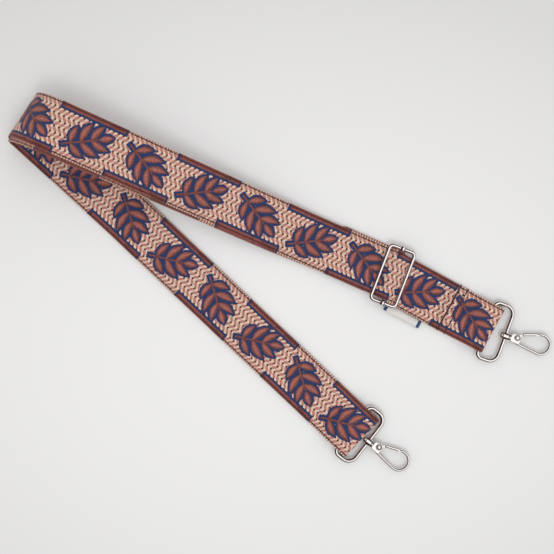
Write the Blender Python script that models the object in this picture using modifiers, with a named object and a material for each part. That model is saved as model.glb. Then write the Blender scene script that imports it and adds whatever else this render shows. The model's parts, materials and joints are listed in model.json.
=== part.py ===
"""A detachable bag strap, laid folded in half on a table.

One length of patterned webbing is sewn round the ring of clasp A, runs through a three-bar
slider, goes on as the outer ply of a folded double strand, turns through the ring of clasp B,
comes back as the inner ply and ends sewn round the slider's middle bar.  Each clasp is a ring
with a swivelling snap hook, whose sprung gate turns on a rivet.

The strap's own frame has x along the fold's profile, y along the fold's crease and z up, with
the fold's start at the origin.  One empty turns that frame to the table and centres it.
"""
import bmesh
import bpy
from math import asin, atan, cos, hypot, pi, radians, sin, tan
from mathutils import Matrix, Vector

# The webbing
webbing_width = 0.038
webbing_thickness = 0.0013
webbing_edge_round = 0.0003
seat_gap = 0.0003

# How the folded strap lies: the angle of each strand to the fold's profile, and the profile
lay_angle = radians(9.85)
fold_tight_radius = 0.0069
fold_tight_turn = radians(88.0)
fold_easy_radius = 0.0277
fall_angle = radians(9.6)
landing_radius = 0.2325
flat_run_length = 0.0549
lower_strand_length = 0.3519
tail_length = 0.0893
tail_heading = radians(5.05)
skew_run = 0.030
turn_before_slider = 0.006
table_turn = radians(-33.55)

# The inner ply lies a little askew under the outer one
inner_drift_at_fold = -0.0016
inner_drift_at_slider = 0.0013

# Sewn ends
flap_length = 0.043
slider_flap_length = 0.030
tunnel_rise_run = 0.020
slider_flap_drop_run = 0.009

# The label, a short folded ribbon in the edge seam
label_length = 0.031
label_reach = 0.0048
label_thickness = 0.0007
label_start = 0.0045
label_droop = 0.0008

# The slider
slider_wire = 0.0024
slider_bar_spacing = 0.0102
slider_yaw = radians(2.7)
slider_side_clearance = 0.0021
slider_corner_radius = 0.0029
slider_bar_diameter = 0.0022
slider_eye_diameter = 0.0042
slider_head_diameter = 0.0036
slider_head_height = 0.0009
pin_clearance = 0.00015

# The rings
ring_wire = 0.0034
ring_side_clearance = 0.0020
ring_depth = 0.0158
ring_bar_corner = 0.0040
ring_nose_corner = 0.0072
ring_eye_diameter = 0.0064
ring_eye_length = 0.0042
ring_inset_a = 0.0060
ring_inset_b = 0.0109
ring_yaw_a = radians(8.25)
ring_yaw_b = radians(5.3)
ring_shift_a = -0.0009
ring_shift_b = 0.0

# The swivel post
post_diameter = 0.0024
post_clearance = 0.0003
post_head_diameter = 0.0048
post_head_height = 0.0012
post_seat_depth = 0.0016

# The snap hook, measured from the ring's outer bar
hook_wire = 0.0025
hook_block_start = 0.0026
hook_collar_length = 0.0013
hook_collar_diameter = 0.0056
hook_block_length = 0.0076
hook_block_thickness = 0.0058
hook_block_back_low = 0.0024
hook_block_back_high = 0.0036
hook_block_front_low = 0.0029
hook_block_front_high = 0.0064
hook_block_round = 0.0005
hook_eye_radius = 0.00755
hook_eye_along = 0.0277
hook_eye_across = 0.0032
hook_spine_slope = radians(-6.3)
hook_nose_angle = radians(110.0)
hook_nose_length = 0.0016
slot_width = 0.0038
slot_wall = 0.0014
slot_floor = 0.0018

# The gate, its rivet and its spring
rivet_along = 0.0086
rivet_across = 0.0018
rivet_diameter = 0.0015
rivet_head_diameter = 0.0031
rivet_head_height = 0.0006
gate_hub_radius = 0.0019
gate_root_thickness = 0.0012
gate_width = 0.0024
gate_depth = 0.0017
gate_lip_length = 0.0011
spring_wire = 0.0003
spring_radius = 0.0012
spring_pitch = 0.00072
spring_turns = 1.75
spring_leg = 0.0022

# Fineness of round stretches, and the overrun of every cutter
round_step = radians(15.0)
wide_step = radians(4.0)
rim_sides = 24
pin_sides = 20
cut_overrun = 0.002

layer_pitch = webbing_thickness + seat_gap
half_width = webbing_width / 2

parts = bpy.data.collections.new("bag_strap")
cutters = bpy.data.collections.new("cutters")


def clear_scene():
    for thing in list(bpy.data.objects):
        bpy.data.objects.remove(thing, do_unlink=True)
    for collection in (parts, cutters):
        bpy.context.scene.collection.children.link(collection)


def finish_of(name, colour, roughness, metallic=0.0):
    material = bpy.data.materials.new(name)
    material.use_nodes = True
    shader = material.node_tree.nodes["Principled BSDF"]
    shader.inputs["Base Color"].default_value = (*colour, 1.0)
    shader.inputs["Roughness"].default_value = roughness
    shader.inputs["Metallic"].default_value = metallic
    return material


def empty_at(name, parent, place=(0.0, 0.0, 0.0), turn=0.0):
    empty = bpy.data.objects.new(name, None)
    empty.parent = parent
    empty.location = place
    empty.rotation_euler.z = turn
    parts.objects.link(empty)
    return empty


def add_object(name, data, material=None, parent=None, place=(0.0, 0.0, 0.0), home=parts):
    thing = bpy.data.objects.new(name, data)
    thing.parent = parent
    thing.location = place
    if material:
        thing.data.materials.append(material)
    home.objects.link(thing)
    return thing


# Paths

class Walk:
    """A path in an upright plane: marks of distance along, height, heading and length so far."""

    def __init__(self, along, height, heading=0.0):
        self.marks = [(along, height, heading, 0.0)]

    def line(self, length):
        along, height, heading, run = self.marks[-1]
        self.marks.append((along + length * cos(heading), height + length * sin(heading),
                           heading, run + length))
        return self

    def arc(self, radius, turn, step=round_step):
        steps = max(1, round(abs(turn) / step))
        bend = turn / steps
        chord = 2 * radius * sin(abs(bend) / 2)
        for _ in range(steps):
            along, height, heading, run = self.marks[-1]
            middle = heading + bend / 2
            self.marks.append((along + chord * cos(middle), height + chord * sin(middle),
                               heading + bend, run + radius * abs(bend)))
        return self

    def ease(self, rise, run_along, step=wide_step):
        """Climb by rise over a level distance, in two arcs that start and end level."""
        turn = 2 * atan(rise / run_along)
        radius = run_along / (2 * sin(abs(turn)))
        return self.arc(radius, turn, step).arc(radius, -turn, step)


def shifted(mark, offset):
    """A mark moved sideways, to the left of its heading."""
    along, height, heading, run = mark
    return (along - offset * sin(heading), height + offset * cos(heading), heading, run)


class Strand:
    """A straight stretch of strap in plan: an origin and a heading."""

    def __init__(self, origin, heading):
        self.origin = Vector((origin[0], origin[1], 0.0))
        self.heading = heading
        self.ahead = Vector((cos(heading), sin(heading), 0.0))
        self.left = Vector((-sin(heading), cos(heading), 0.0))

    def point(self, along, across, height):
        return self.origin + along * self.ahead + across * self.left + Vector((0.0, 0.0, height))

    def pair(self, along, height, drift=0.0, skew=0.0):
        """The two edge points of the webbing at one place, square to the strand plus a skew."""
        middle = self.point(along, drift, height)
        across = Vector((-sin(self.heading + skew), cos(self.heading + skew), 0.0))
        return middle - half_width * across, middle + half_width * across

    def slant_pair(self, level, height, drift=0.0):
        """The two edge points where the strand crosses the line x = level."""
        edges = []
        for across in (drift - half_width, drift + half_width):
            along = (level - self.origin.x - across * self.left.x) / self.ahead.x
            edges.append(self.point(along, across, height))
        return tuple(edges)


def fold_pair(mark, offset, drift):
    """The edge points at one place of the fold, on a line that runs along its crease."""
    along, height, _, run = shifted(mark, offset)
    middle = tan(lay_angle) * run + drift / cos(lay_angle)
    reach = half_width / cos(lay_angle)
    return Vector((along, middle - reach, height)), Vector((along, middle + reach, height))


# Solids

def lay_webbing(name, pairs, material, parent):
    """A flat grid, cut as long as its stations, is laid through them and given its thickness."""
    shape = bmesh.new()
    last = len(pairs) - 1
    bmesh.ops.create_grid(shape, x_segments=last, y_segments=1, size=0.5)
    for vertex in shape.verts:
        station = round((vertex.co.x + 0.5) * last)
        vertex.co = pairs[station][1 if vertex.co.y > 0 else 0]
    mesh = bpy.data.meshes.new(name)
    shape.to_mesh(mesh)
    shape.free()
    strap = add_object(name, mesh, material, parent)
    shell = strap.modifiers.new("thickness", "SOLIDIFY")
    shell.thickness = webbing_thickness
    shell.offset = 0.0
    shell.use_even_offset = True
    edge = strap.modifiers.new("edge", "BEVEL")
    edge.width = webbing_edge_round
    edge.segments = 1
    edge.limit_method = "ANGLE"
    edge.angle_limit = radians(60.0)
    return strap


def rounded_path(corners, radii, step=round_step):
    """A closed outline with each corner replaced by an arc of its own radius."""
    points = []
    count = len(corners)
    for index, corner in enumerate(corners):
        before = (Vector(corners[index - 1]) - Vector(corner)).normalized()
        after = (Vector(corners[(index + 1) % count]) - Vector(corner)).normalized()
        opening = before.angle(after)
        radius = radii[index]
        centre = Vector(corner) + (before + after).normalized() * radius / sin(opening / 2)
        first = Vector(corner) + before * radius / tan(opening / 2) - centre
        sweep = (pi - opening) * (1 if before.x * after.y - before.y * after.x < 0 else -1)
        steps = max(1, round(abs(sweep) / step))
        for stop in range(steps + 1):
            points.append(centre + Matrix.Rotation(sweep * stop / steps, 2) @ first)
    return points


def wire_mesh(name, points, diameter, closed):
    """A round wire along points, as a closed mesh."""
    curve = bpy.data.curves.new(name, "CURVE")
    curve.dimensions = "3D"
    curve.bevel_depth = diameter / 2
    curve.bevel_resolution = 2
    curve.use_fill_caps = True
    spline = curve.splines.new("POLY")
    spline.points.add(len(points) - 1)
    for point, place in zip(spline.points, points):
        point.co = (*Vector(place).to_3d(), 1.0)
    spline.use_cyclic_u = closed
    return mesh_of_curve(name, curve)


def plate_mesh(name, outline, thickness, round_off=0.0):
    """A flat plate with the given outline, centred on its own plane."""
    curve = bpy.data.curves.new(name, "CURVE")
    curve.dimensions = "2D"
    curve.fill_mode = "BOTH"
    curve.extrude = thickness / 2 - round_off
    curve.bevel_depth = round_off
    curve.bevel_resolution = 0
    curve.offset = -round_off
    spline = curve.splines.new("POLY")
    spline.points.add(len(outline) - 1)
    for point, place in zip(spline.points, outline):
        point.co = (place[0], place[1], 0.0, 1.0)
    spline.use_cyclic_u = True
    return mesh_of_curve(name, curve)


def mesh_of_curve(name, curve):
    """Turn a curve into a welded mesh, and drop the curve."""
    holder = bpy.data.objects.new(name + "_curve", curve)
    bpy.context.scene.collection.objects.link(holder)
    bpy.context.view_layer.update()
    graph = bpy.context.evaluated_depsgraph_get()
    mesh = bpy.data.meshes.new_from_object(holder.evaluated_get(graph))
    mesh.name = name
    bpy.data.objects.remove(holder, do_unlink=True)
    shape = bmesh.new()
    shape.from_mesh(mesh)
    bmesh.ops.remove_doubles(shape, verts=shape.verts, dist=seat_gap / 100)
    bmesh.ops.recalc_face_normals(shape, faces=shape.faces)
    shape.to_mesh(mesh)
    shape.free()
    mesh.materials.clear()
    return mesh


def cylinder_mesh(name, diameter, length, sides=rim_sides, axis="Z"):
    shape = bmesh.new()
    bmesh.ops.create_cone(shape, cap_ends=True, segments=sides, radius1=diameter / 2,
                          radius2=diameter / 2, depth=length)
    turn = {"X": Matrix.Rotation(pi / 2, 4, "Y"), "Y": Matrix.Rotation(-pi / 2, 4, "X"),
            "Z": Matrix.Identity(4)}[axis]
    shape.transform(turn)
    mesh = bpy.data.meshes.new(name)
    shape.to_mesh(mesh)
    shape.free()
    return mesh


def box_mesh(name, low, high):
    shape = bmesh.new()
    bmesh.ops.create_cube(shape, size=1.0)
    for vertex in shape.verts:
        vertex.co = [high[axis] if vertex.co[axis] > 0 else low[axis] for axis in range(3)]
    mesh = bpy.data.meshes.new(name)
    shape.to_mesh(mesh)
    shape.free()
    return mesh


def turned(name, profile, material, parent, place=(0.0, 0.0, 0.0), axis="Z"):
    """A solid of revolution: a profile of (radius, height) from top to bottom, screwed round."""
    mesh = bpy.data.meshes.new(name)
    turn = {"X": Matrix.Rotation(pi / 2, 4, "Y"), "Y": Matrix.Rotation(-pi / 2, 4, "X"),
            "Z": Matrix.Identity(4)}[axis]
    points = [(radius, 0.0, height) for radius, height in profile]
    mesh.from_pydata(points, [(step, step + 1) for step in range(len(points) - 1)], [])
    part = add_object(name, mesh, material, parent, place)
    part.matrix_local = Matrix.Translation(place) @ turn
    screw = part.modifiers.new("turn", "SCREW")
    screw.steps = pin_sides
    screw.render_steps = pin_sides
    screw.use_merge_vertices = True
    screw.merge_threshold = seat_gap / 100
    screw.use_normal_calculate = True
    return part


def join(part, tool_mesh, operation, place=(0.0, 0.0, 0.0), turn=0.0):
    """Add a tool to a part, or cut it away, with a Boolean that stays on the part."""
    tool = add_object(part.name + "_tool", tool_mesh, None, part.parent, place, cutters)
    tool.rotation_euler.z = turn
    tool.hide_render = True
    tool.display_type = "WIRE"
    step = part.modifiers.new("union" if operation == "UNION" else "cut", "BOOLEAN")
    step.operation = operation
    step.solver = "EXACT"
    step.object = tool
    return tool


# The strap

class Lay:
    """Where the folded strap lies, worked out once for all its plies."""

    def __init__(self):
        low_middle = webbing_thickness + seat_gap / 2
        high_middle = low_middle + layer_pitch
        easy_turn = pi - fold_tight_turn + fall_angle
        bend = Walk(0.0, low_middle, pi)
        bend.arc(fold_tight_radius, -fold_tight_turn)
        bend.arc(fold_easy_radius, -easy_turn, round_step)
        crown = bend.marks[-1][1]
        landing_drop = landing_radius * (1 - cos(fall_angle))
        fall_length = (crown - high_middle - landing_drop) / sin(fall_angle)
        bend.line(fall_length)
        self.bend_marks = bend.marks
        landing = Walk(*bend.marks[-1][:3])
        landing.line(seat_gap)
        landing.arc(landing_radius, fall_angle, wide_step)
        start_run = bend.marks[-1][3]
        self.landing_marks = [(*mark[:3], start_run + mark[3]) for mark in landing.marks[1:]]
        landed = self.landing_marks[-1]
        slider_run = landed[3] + flat_run_length * cos(lay_angle)
        slider_x = landed[0] + flat_run_length * cos(lay_angle)
        self.slider_run = slider_run
        slider_place = (slider_x, tan(lay_angle) * slider_run)
        self.upper = Strand(slider_place, lay_angle)
        self.tail = Strand(slider_place, tail_heading)
        turning = self.upper.point(-turn_before_slider, 0.0, 0.0)
        to_middle = turn_before_slider * cos(slider_yaw) / cos(pass_skew)
        self.tail.origin = turning + to_middle * self.tail.ahead
        self.lower = Strand((0.0, 0.0), -lay_angle)
        self.low_middle = low_middle
        self.high_middle = high_middle

    def inner_drift(self, run):
        """How far the inner ply lies to one side at a distance along the upper strand."""
        share = min(1.0, max(0.0, run / self.slider_run))
        return inner_drift_at_fold + share * (inner_drift_at_slider - inner_drift_at_fold)


slider_height = 3 * webbing_thickness + 3 * seat_gap + slider_wire / 2
ring_height = webbing_thickness + seat_gap + ring_wire / 2
hairpin_radius = ring_wire / 2 + seat_gap + webbing_thickness / 2
under_bar_radius = slider_wire / 2 + seat_gap + webbing_thickness / 2
loop_radius = slider_bar_diameter / 2 + seat_gap + webbing_thickness / 2
over_loop_radius = loop_radius + layer_pitch
pass_turn = asin((under_bar_radius + over_loop_radius) / slider_bar_spacing)
pass_straight = slider_bar_spacing * cos(pass_turn)
pass_skew = lay_angle + slider_yaw - tail_heading


def fold_ply(name, lay, side, drifting, material, parent):
    """One ply from the fold's start, round the bend and down to the landing."""
    pairs = []
    for mark in lay.bend_marks:
        drift = lay.inner_drift(mark[3]) if drifting else 0.0
        pairs.append(fold_pair(mark, side * layer_pitch / 2, drift))
    return lay_webbing(name, pairs, material, parent)


def hump_marks():
    """The passing ply from under the slider's left bar, over its middle and under the right."""
    level = slider_height - under_bar_radius
    hump = Walk(-slider_bar_spacing, level)
    hump.arc(under_bar_radius, pass_turn).line(pass_straight)
    hump.arc(over_loop_radius, -pass_turn).arc(over_loop_radius, -pass_turn)
    hump.line(pass_straight).arc(under_bar_radius, pass_turn)
    return hump.marks


def through_run(lay, material, parent):
    """The passing ply: landing, flat run, through the slider and down to the sewn end."""
    pairs = [fold_pair(mark, layer_pitch / 2, 0.0) for mark in lay.landing_marks]
    for mark in hump_marks():
        pairs.append(lay.tail.pair(mark[0] / cos(pass_skew), mark[1], skew=pass_skew))
    for mark in tail_marks()[1:]:
        share = min(1.0, (mark[0] - slider_bar_spacing) / skew_run)
        pairs.append(lay.tail.pair(mark[0], mark[1], skew=(1 - share) * pass_skew))
    return lay_webbing("strap_through_run", pairs, material, parent)


def tail_marks():
    """The passing ply right of the slider, easing down onto the sewn end's flap."""
    level = slider_height - under_bar_radius
    end_level = webbing_thickness / 2 + layer_pitch
    sewn_start = tail_length - flap_length - 2 * seat_gap
    tail = Walk(slider_bar_spacing, level).line(under_bar_radius)
    tail.ease(end_level - level, sewn_start - slider_bar_spacing - 2 * under_bar_radius)
    tail.line(sewn_start - tail.marks[-1][0])
    return tail.marks


def under_run(lay, material, parent):
    """The inner ply from the landing to where it is sewn to the slider's flap."""
    pairs = []
    for mark in lay.landing_marks:
        pairs.append(fold_pair(mark, -layer_pitch / 2, lay.inner_drift(mark[3])))
    height = webbing_thickness / 2 + layer_pitch
    pairs.append(lay.upper.pair(-slider_flap_length - seat_gap, height, inner_drift_at_slider,
                                slider_yaw))
    return lay_webbing("strap_under_run", pairs, material, parent)


def slider_loop(lay, material, parent):
    """The webbing's end, taken over the slider's middle bar, back under it and sewn."""
    flat = webbing_thickness / 2
    loop = Walk(-slider_flap_length, flat + layer_pitch)
    loop.line(slider_flap_length - slider_bar_spacing)
    loop.arc(under_bar_radius + layer_pitch, pass_turn).line(pass_straight)
    loop.arc(loop_radius, -pass_turn).arc(loop_radius, -pi)
    drop = slider_height - loop_radius - flat
    loop.ease(drop, slider_flap_drop_run, round_step)
    loop.line(slider_flap_length - slider_flap_drop_run)
    pairs = [lay.upper.pair(mark[0], mark[1], inner_drift_at_slider, slider_yaw)
             for mark in loop.marks]
    return lay_webbing("strap_slider_loop", pairs, material, parent)


def tunnel_length(inset, yaw):
    """How far from the strap's end both plies stay parallel, to clear the turned ring bar."""
    return inset + half_width * tan(yaw) + ring_wire / 2 + seat_gap


def hairpin_marks(start, end, inset, yaw, lower_reach):
    """Top ply up over a ring bar, round the strap's end and back along the table."""
    flat = webbing_thickness / 2
    path = Walk(start, flat + layer_pitch)
    parallel = tunnel_length(inset, yaw)
    path.line(end - start - parallel - tunnel_rise_run)
    path.ease(2 * hairpin_radius - layer_pitch, tunnel_rise_run)
    path.line(parallel - hairpin_radius - flat)
    path.arc(hairpin_radius, -pi)
    path.line(lower_reach - hairpin_radius - flat)
    return path.marks


def sewn_end(lay, material, parent):
    """The end at clasp A: folded round the ring and sewn back on itself."""
    start = tail_length - flap_length - seat_gap
    marks = hairpin_marks(start, tail_length, ring_inset_a, ring_yaw_a, flap_length)
    return lay_webbing("strap_sewn_end", [lay.tail.pair(m[0], m[1]) for m in marks],
                       material, parent)


def lower_plies(lay, material, parent):
    """Bottom ply, running loop at clasp B and top ply of the lower strand."""
    flat = webbing_thickness / 2
    loop_start = lower_strand_length - tunnel_length(ring_inset_b, ring_yaw_b) \
        - tunnel_rise_run - layer_pitch
    reach = lower_strand_length - loop_start
    marks = hairpin_marks(loop_start, lower_strand_length, ring_inset_b, ring_yaw_b, reach)
    lay_webbing("strap_clasp_loop", [lay.lower.pair(m[0], m[1]) for m in marks],
                material, parent)
    end = loop_start - seat_gap
    drift = inner_drift_at_fold
    lay_webbing("strap_lower_bottom", [lay.lower.slant_pair(seat_gap, flat),
                                       lay.lower.pair(end, flat)], material, parent)
    lay_webbing("strap_lower_top",
                [lay.lower.slant_pair(seat_gap, flat + layer_pitch, drift),
                 lay.lower.pair(end, flat + layer_pitch)], material, parent)


def side_label(lay, material, parent):
    """A folded ribbon label that stands out of the strap's lower edge right of the slider."""
    middle = -half_width - seat_gap - label_reach / 2
    marks = [mark for mark in tail_marks() if mark[0] < label_start + label_length]
    pairs = []
    stops = [label_start] + [m[0] for m in marks if m[0] > label_start]
    stops.append(label_start + label_length)
    for stop in stops:
        height = height_on(tail_marks(), stop) - label_droop
        edges = [lay.tail.point(stop, middle + side * label_reach / 2, height)
                 for side in (-1, 1)]
        pairs.append(tuple(edges))
    label = lay_webbing("side_label", pairs, material, parent)
    label.modifiers["thickness"].thickness = label_thickness
    label.modifiers.remove(label.modifiers["edge"])
    return label


def height_on(marks, along):
    """The height of a path at a distance along it, level before its first mark."""
    if along <= marks[0][0]:
        return marks[0][1]
    for before, after in zip(marks, marks[1:]):
        if after[0] >= along:
            share = (along - before[0]) / (after[0] - before[0])
            return before[1] + share * (after[1] - before[1])
    return marks[-1][1]


# The slider

def build_slider(lay, metal, parent):
    """A wire frame with an eye in each short side, and the riveted middle bar through them."""
    reach = half_width + slider_side_clearance + slider_wire / 2
    corners = [(slider_bar_spacing, reach), (-slider_bar_spacing, reach),
               (-slider_bar_spacing, -reach), (slider_bar_spacing, -reach)]
    outline = rounded_path(corners, [slider_corner_radius] * 4)
    frame = add_object("slider_frame", wire_mesh("slider_frame", outline, slider_wire, True),
                       metal, parent)
    for side in (-1, 1):
        eye = cylinder_mesh("slider_eye", slider_eye_diameter, slider_wire, axis="Y")
        join(frame, eye, "UNION", (0.0, side * reach, 0.0))
    hole = slider_bar_diameter + 2 * pin_clearance
    bore = cylinder_mesh("slider_bore", hole, 2 * reach + slider_wire + cut_overrun, axis="Y")
    join(frame, bore, "DIFFERENCE")
    seat = reach + slider_wire / 2 + pin_clearance
    pin_shape = headed_pin(slider_bar_diameter, 2 * seat, slider_head_diameter,
                           slider_head_height)
    turned("slider_bar", pin_shape, metal, parent, axis="Y")


def headed_pin(diameter, length, head_diameter, head_height):
    """The profile of a pin with a domed head at both ends, from top to bottom."""
    half = length / 2
    top = [(0.0, half + head_height), (head_diameter * 0.32, half + head_height * 0.8),
           (head_diameter / 2, half + head_height * 0.35), (head_diameter / 2, half),
           (diameter / 2, half)]
    return top + [(radius, -height) for radius, height in reversed(top)]


# The clasps

def build_ring(name, metal, parent):
    """A rounded wire ring; its outer bar swells to an eye for the swivel post."""
    reach = half_width + ring_side_clearance + ring_wire / 2
    corners = [(ring_depth, reach), (0.0, reach), (0.0, -reach), (ring_depth, -reach)]
    radii = [ring_nose_corner, ring_bar_corner, ring_bar_corner, ring_nose_corner]
    outline = rounded_path(corners, radii)
    ring = add_object(name, wire_mesh(name, outline, ring_wire, True), metal, parent)
    eye = cylinder_mesh("ring_eye", ring_eye_diameter, ring_eye_length, axis="X")
    join(ring, eye, "UNION", (ring_depth, 0.0, 0.0))
    hole = post_diameter + 2 * post_clearance
    bore = cylinder_mesh("ring_bore", hole, ring_eye_length + cut_overrun, axis="X")
    join(ring, bore, "DIFFERENCE", (ring_depth, 0.0, 0.0))


def build_post(name, metal, parent):
    """The swivel post: a domed head inside the ring, a shank through it, seated in the hook."""
    head_seat = ring_eye_length / 2 + post_clearance
    tip = hook_block_start + post_seat_depth - post_clearance
    radius = post_head_diameter / 2
    profile = [(0.0, tip), (post_diameter / 2, tip), (post_diameter / 2, -head_seat),
               (radius, -head_seat), (radius, -head_seat - post_head_height * 0.5),
               (radius * 0.7, -head_seat - post_head_height * 0.85),
               (0.0, -head_seat - post_head_height)]
    turned(name, profile, metal, parent, axis="X")


def hook_centreline():
    """The hook's wire from inside the block, along the spine, round the eye to the nose."""
    centre = Vector((hook_eye_along, hook_eye_across))
    start_angle = hook_spine_slope - pi / 2
    ahead = Vector((cos(hook_spine_slope), sin(hook_spine_slope)))
    first = centre + hook_eye_radius * Vector((cos(start_angle), sin(start_angle)))
    block_middle = hook_block_start + hook_collar_length + hook_block_length / 2
    back = (first.x - block_middle) / ahead.x
    points = [first - back * ahead]
    sweep = hook_nose_angle - start_angle
    steps = round(sweep / round_step)
    for stop in range(steps + 1):
        angle = start_angle + sweep * stop / steps
        points.append(centre + hook_eye_radius * Vector((cos(angle), sin(angle))))
    nose = Vector((-sin(hook_nose_angle), cos(hook_nose_angle)))
    points.append(points[-1] + hook_nose_length * nose)
    return points


def mouth_frame():
    """The nose's end and the unit directions along the gate and out of the hook."""
    nose = hook_centreline()[-1]
    ahead = Vector((sin(hook_nose_angle), -cos(hook_nose_angle)))
    out = Vector((-ahead.y, ahead.x))
    return nose, ahead, out


def in_mouth(along, out_by):
    nose, ahead, out = mouth_frame()
    return nose + along * ahead + out_by * out


def build_hook(name, metal, parent):
    """The cast hook: collar, slotted block, spine, eye and nose, in one piece."""
    start = hook_block_start + hook_collar_length
    end = start + hook_block_length
    outline = rounded_path([(start, -hook_block_back_low), (end, -hook_block_front_low),
                            (end, hook_block_front_high), (start, hook_block_back_high)],
                           [hook_block_round * 2] * 4, 2 * round_step)
    block = plate_mesh(name, outline, hook_block_thickness, hook_block_round)
    hook = add_object(name, block, metal, parent)
    join(hook, wire_mesh("hook_wire", hook_centreline(), hook_wire, False), "UNION")
    collar_length = hook_collar_length + hook_block_round * 3
    collar = cylinder_mesh("hook_collar", hook_collar_diameter, collar_length, axis="X")
    join(hook, collar, "UNION", (hook_block_start + collar_length / 2, 0.0, 0.0))
    floor = slot_floor - hook_block_front_low
    slot = box_mesh("gate_slot", (start + slot_wall, floor, -slot_width / 2),
                    (end + cut_overrun, hook_block_front_high + cut_overrun, slot_width / 2))
    join(hook, slot, "DIFFERENCE")
    rivet_bore = cylinder_mesh("rivet_bore", rivet_diameter + 2 * pin_clearance,
                               hook_block_thickness + cut_overrun, pin_sides)
    join(hook, rivet_bore, "DIFFERENCE", (rivet_along, rivet_across, 0.0))
    seat = cylinder_mesh("post_seat", post_diameter + 2 * pin_clearance,
                         post_seat_depth + cut_overrun, pin_sides, "X")
    join(hook, seat, "DIFFERENCE",
         (hook_block_start + (post_seat_depth - cut_overrun) / 2, 0.0, 0.0))
    step_out = (-hook_wire / 2 - cut_overrun, 0.0)
    step_along = (-cut_overrun, gate_lip_length + seat_gap)
    step = [in_mouth(step_along[0], step_out[0]), in_mouth(step_along[1], step_out[0]),
            in_mouth(step_along[1], step_out[1]), in_mouth(step_along[0], step_out[1])]
    join(hook, plate_mesh("nose_step", step, hook_wire + cut_overrun), "DIFFERENCE")


def build_gate(name, metal, parent):
    """The gate: a hub and arm in the block's slot, a bar across the mouth, a lip at the nose."""
    hub = Vector((rivet_along, rivet_across))
    half = gate_depth / 2
    tip = -seat_gap
    block_end = hook_block_start + hook_collar_length + hook_block_length
    nose, ahead, _ = mouth_frame()
    root = (block_end + seat_gap - nose.x) / ahead.x
    bar = [in_mouth(root, -half), in_mouth(tip, -half), in_mouth(tip, half),
           in_mouth(root, half)]
    low_lip = -hook_wire / 2
    lip = [in_mouth(tip - gate_lip_length, low_lip), in_mouth(gate_lip_length, low_lip),
           in_mouth(gate_lip_length, -seat_gap), in_mouth(tip - gate_lip_length, -seat_gap)]
    arm_reach = in_mouth(root + gate_depth, 0.0) - hub
    across = Vector((-arm_reach.y, arm_reach.x)).normalized() * gate_hub_radius * 0.62
    arm = [hub - across, hub + arm_reach - across * 0.7, hub + arm_reach + across * 0.7,
           hub + across]
    local = [[point - hub for point in outline] for outline in (bar, lip, arm)]
    root_level = -slot_width / 2 + seat_gap + gate_root_thickness / 2
    gate = add_object(name, plate_mesh(name, local[0], gate_width, seat_gap), metal, parent)
    join(gate, plate_mesh("gate_lip", local[1], gate_width - 2 * seat_gap), "UNION")
    join(gate, plate_mesh("gate_arm", local[2], gate_root_thickness), "UNION",
         (0.0, 0.0, root_level))
    join(gate, cylinder_mesh("gate_hub", 2 * gate_hub_radius, gate_root_thickness), "UNION",
         (0.0, 0.0, root_level))
    join(gate, cylinder_mesh("gate_bore", rivet_diameter + 2 * pin_clearance,
                             gate_width + cut_overrun, pin_sides), "DIFFERENCE")


def build_rivet(name, metal, parent):
    """The gate's rivet, with a low domed head on each face of the block."""
    length = hook_block_thickness + 2 * pin_clearance
    turned(name, headed_pin(rivet_diameter, length, rivet_head_diameter, rivet_head_height),
           metal, parent, (rivet_along, rivet_across, 0.0))


def build_spring(name, metal, parent):
    """A torsion spring round the rivet beside the gate, one leg on the block, one on the gate."""
    level = -slot_width / 2 + 2 * seat_gap + gate_root_thickness + spring_wire / 2
    per_turn = 10
    count = round(spring_turns * per_turn)
    start = pi / 2
    points = []
    for index in range(count + 1):
        angle = start + 2 * pi * index / per_turn
        height = level + spring_pitch * index / per_turn
        points.append(Vector((spring_radius * cos(angle), spring_radius * sin(angle), height)))
    first, last = points[0], points[-1]
    tail = start + 2 * pi * count / per_turn
    points.insert(0, first + spring_leg * Vector((1.0, 0.0, 0.0)))
    points.append(last + spring_leg * Vector((-sin(tail), cos(tail), 0.0)))
    spring = add_object(name, wire_mesh(name, points, spring_wire, False), metal, parent,
                        (rivet_along, rivet_across, 0.0))
    turn_gap = spring_pitch - spring_wire
    print(name, "gap between turns in mm:", round(turn_gap * 1000, 3))
    return spring


def build_clasp(letter, strand, end, inset, shift, yaw, metal, spring_metal, parent):
    """One clasp, set in the strap's end loop: ring, swivel post, hook, gate, rivet, spring."""
    place = strand.point(end - inset, shift, ring_height)
    ring_axis = empty_at("ring_axis_" + letter, parent, place, strand.heading + yaw)
    swivel_axis = empty_at("swivel_axis_" + letter, ring_axis, (ring_depth, 0.0, 0.0))
    gate_axis = empty_at("gate_axis_" + letter, swivel_axis, (rivet_along, rivet_across, 0.0))
    build_ring("d_ring_" + letter, metal, ring_axis)
    build_post("swivel_post_" + letter, metal, swivel_axis)
    build_hook("hook_body_" + letter, metal, swivel_axis)
    build_gate("hook_gate_" + letter, metal, gate_axis)
    build_rivet("gate_rivet_" + letter, metal, swivel_axis)
    build_spring("gate_spring_" + letter, spring_metal, swivel_axis)


def shade_parts():
    """Shade the round pieces smooth, with their edges kept sharp."""
    for thing in parts.objects:
        if thing.type == "MESH":
            thing.data.shade_smooth()
            thing.data.set_sharp_from_angle(angle=radians(40.0))


def world_box():
    """The lowest and highest corners of all the parts as they stand."""
    bpy.context.view_layer.update()
    graph = bpy.context.evaluated_depsgraph_get()
    corners = []
    for thing in parts.objects:
        if thing.type == "MESH":
            shown = thing.evaluated_get(graph)
            mesh = shown.to_mesh()
            corners += [thing.matrix_world @ vertex.co for vertex in mesh.vertices]
            shown.to_mesh_clear()
    low = Vector([min(corner[axis] for corner in corners) for axis in range(3)])
    high = Vector([max(corner[axis] for corner in corners) for axis in range(3)])
    return low, high


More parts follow.
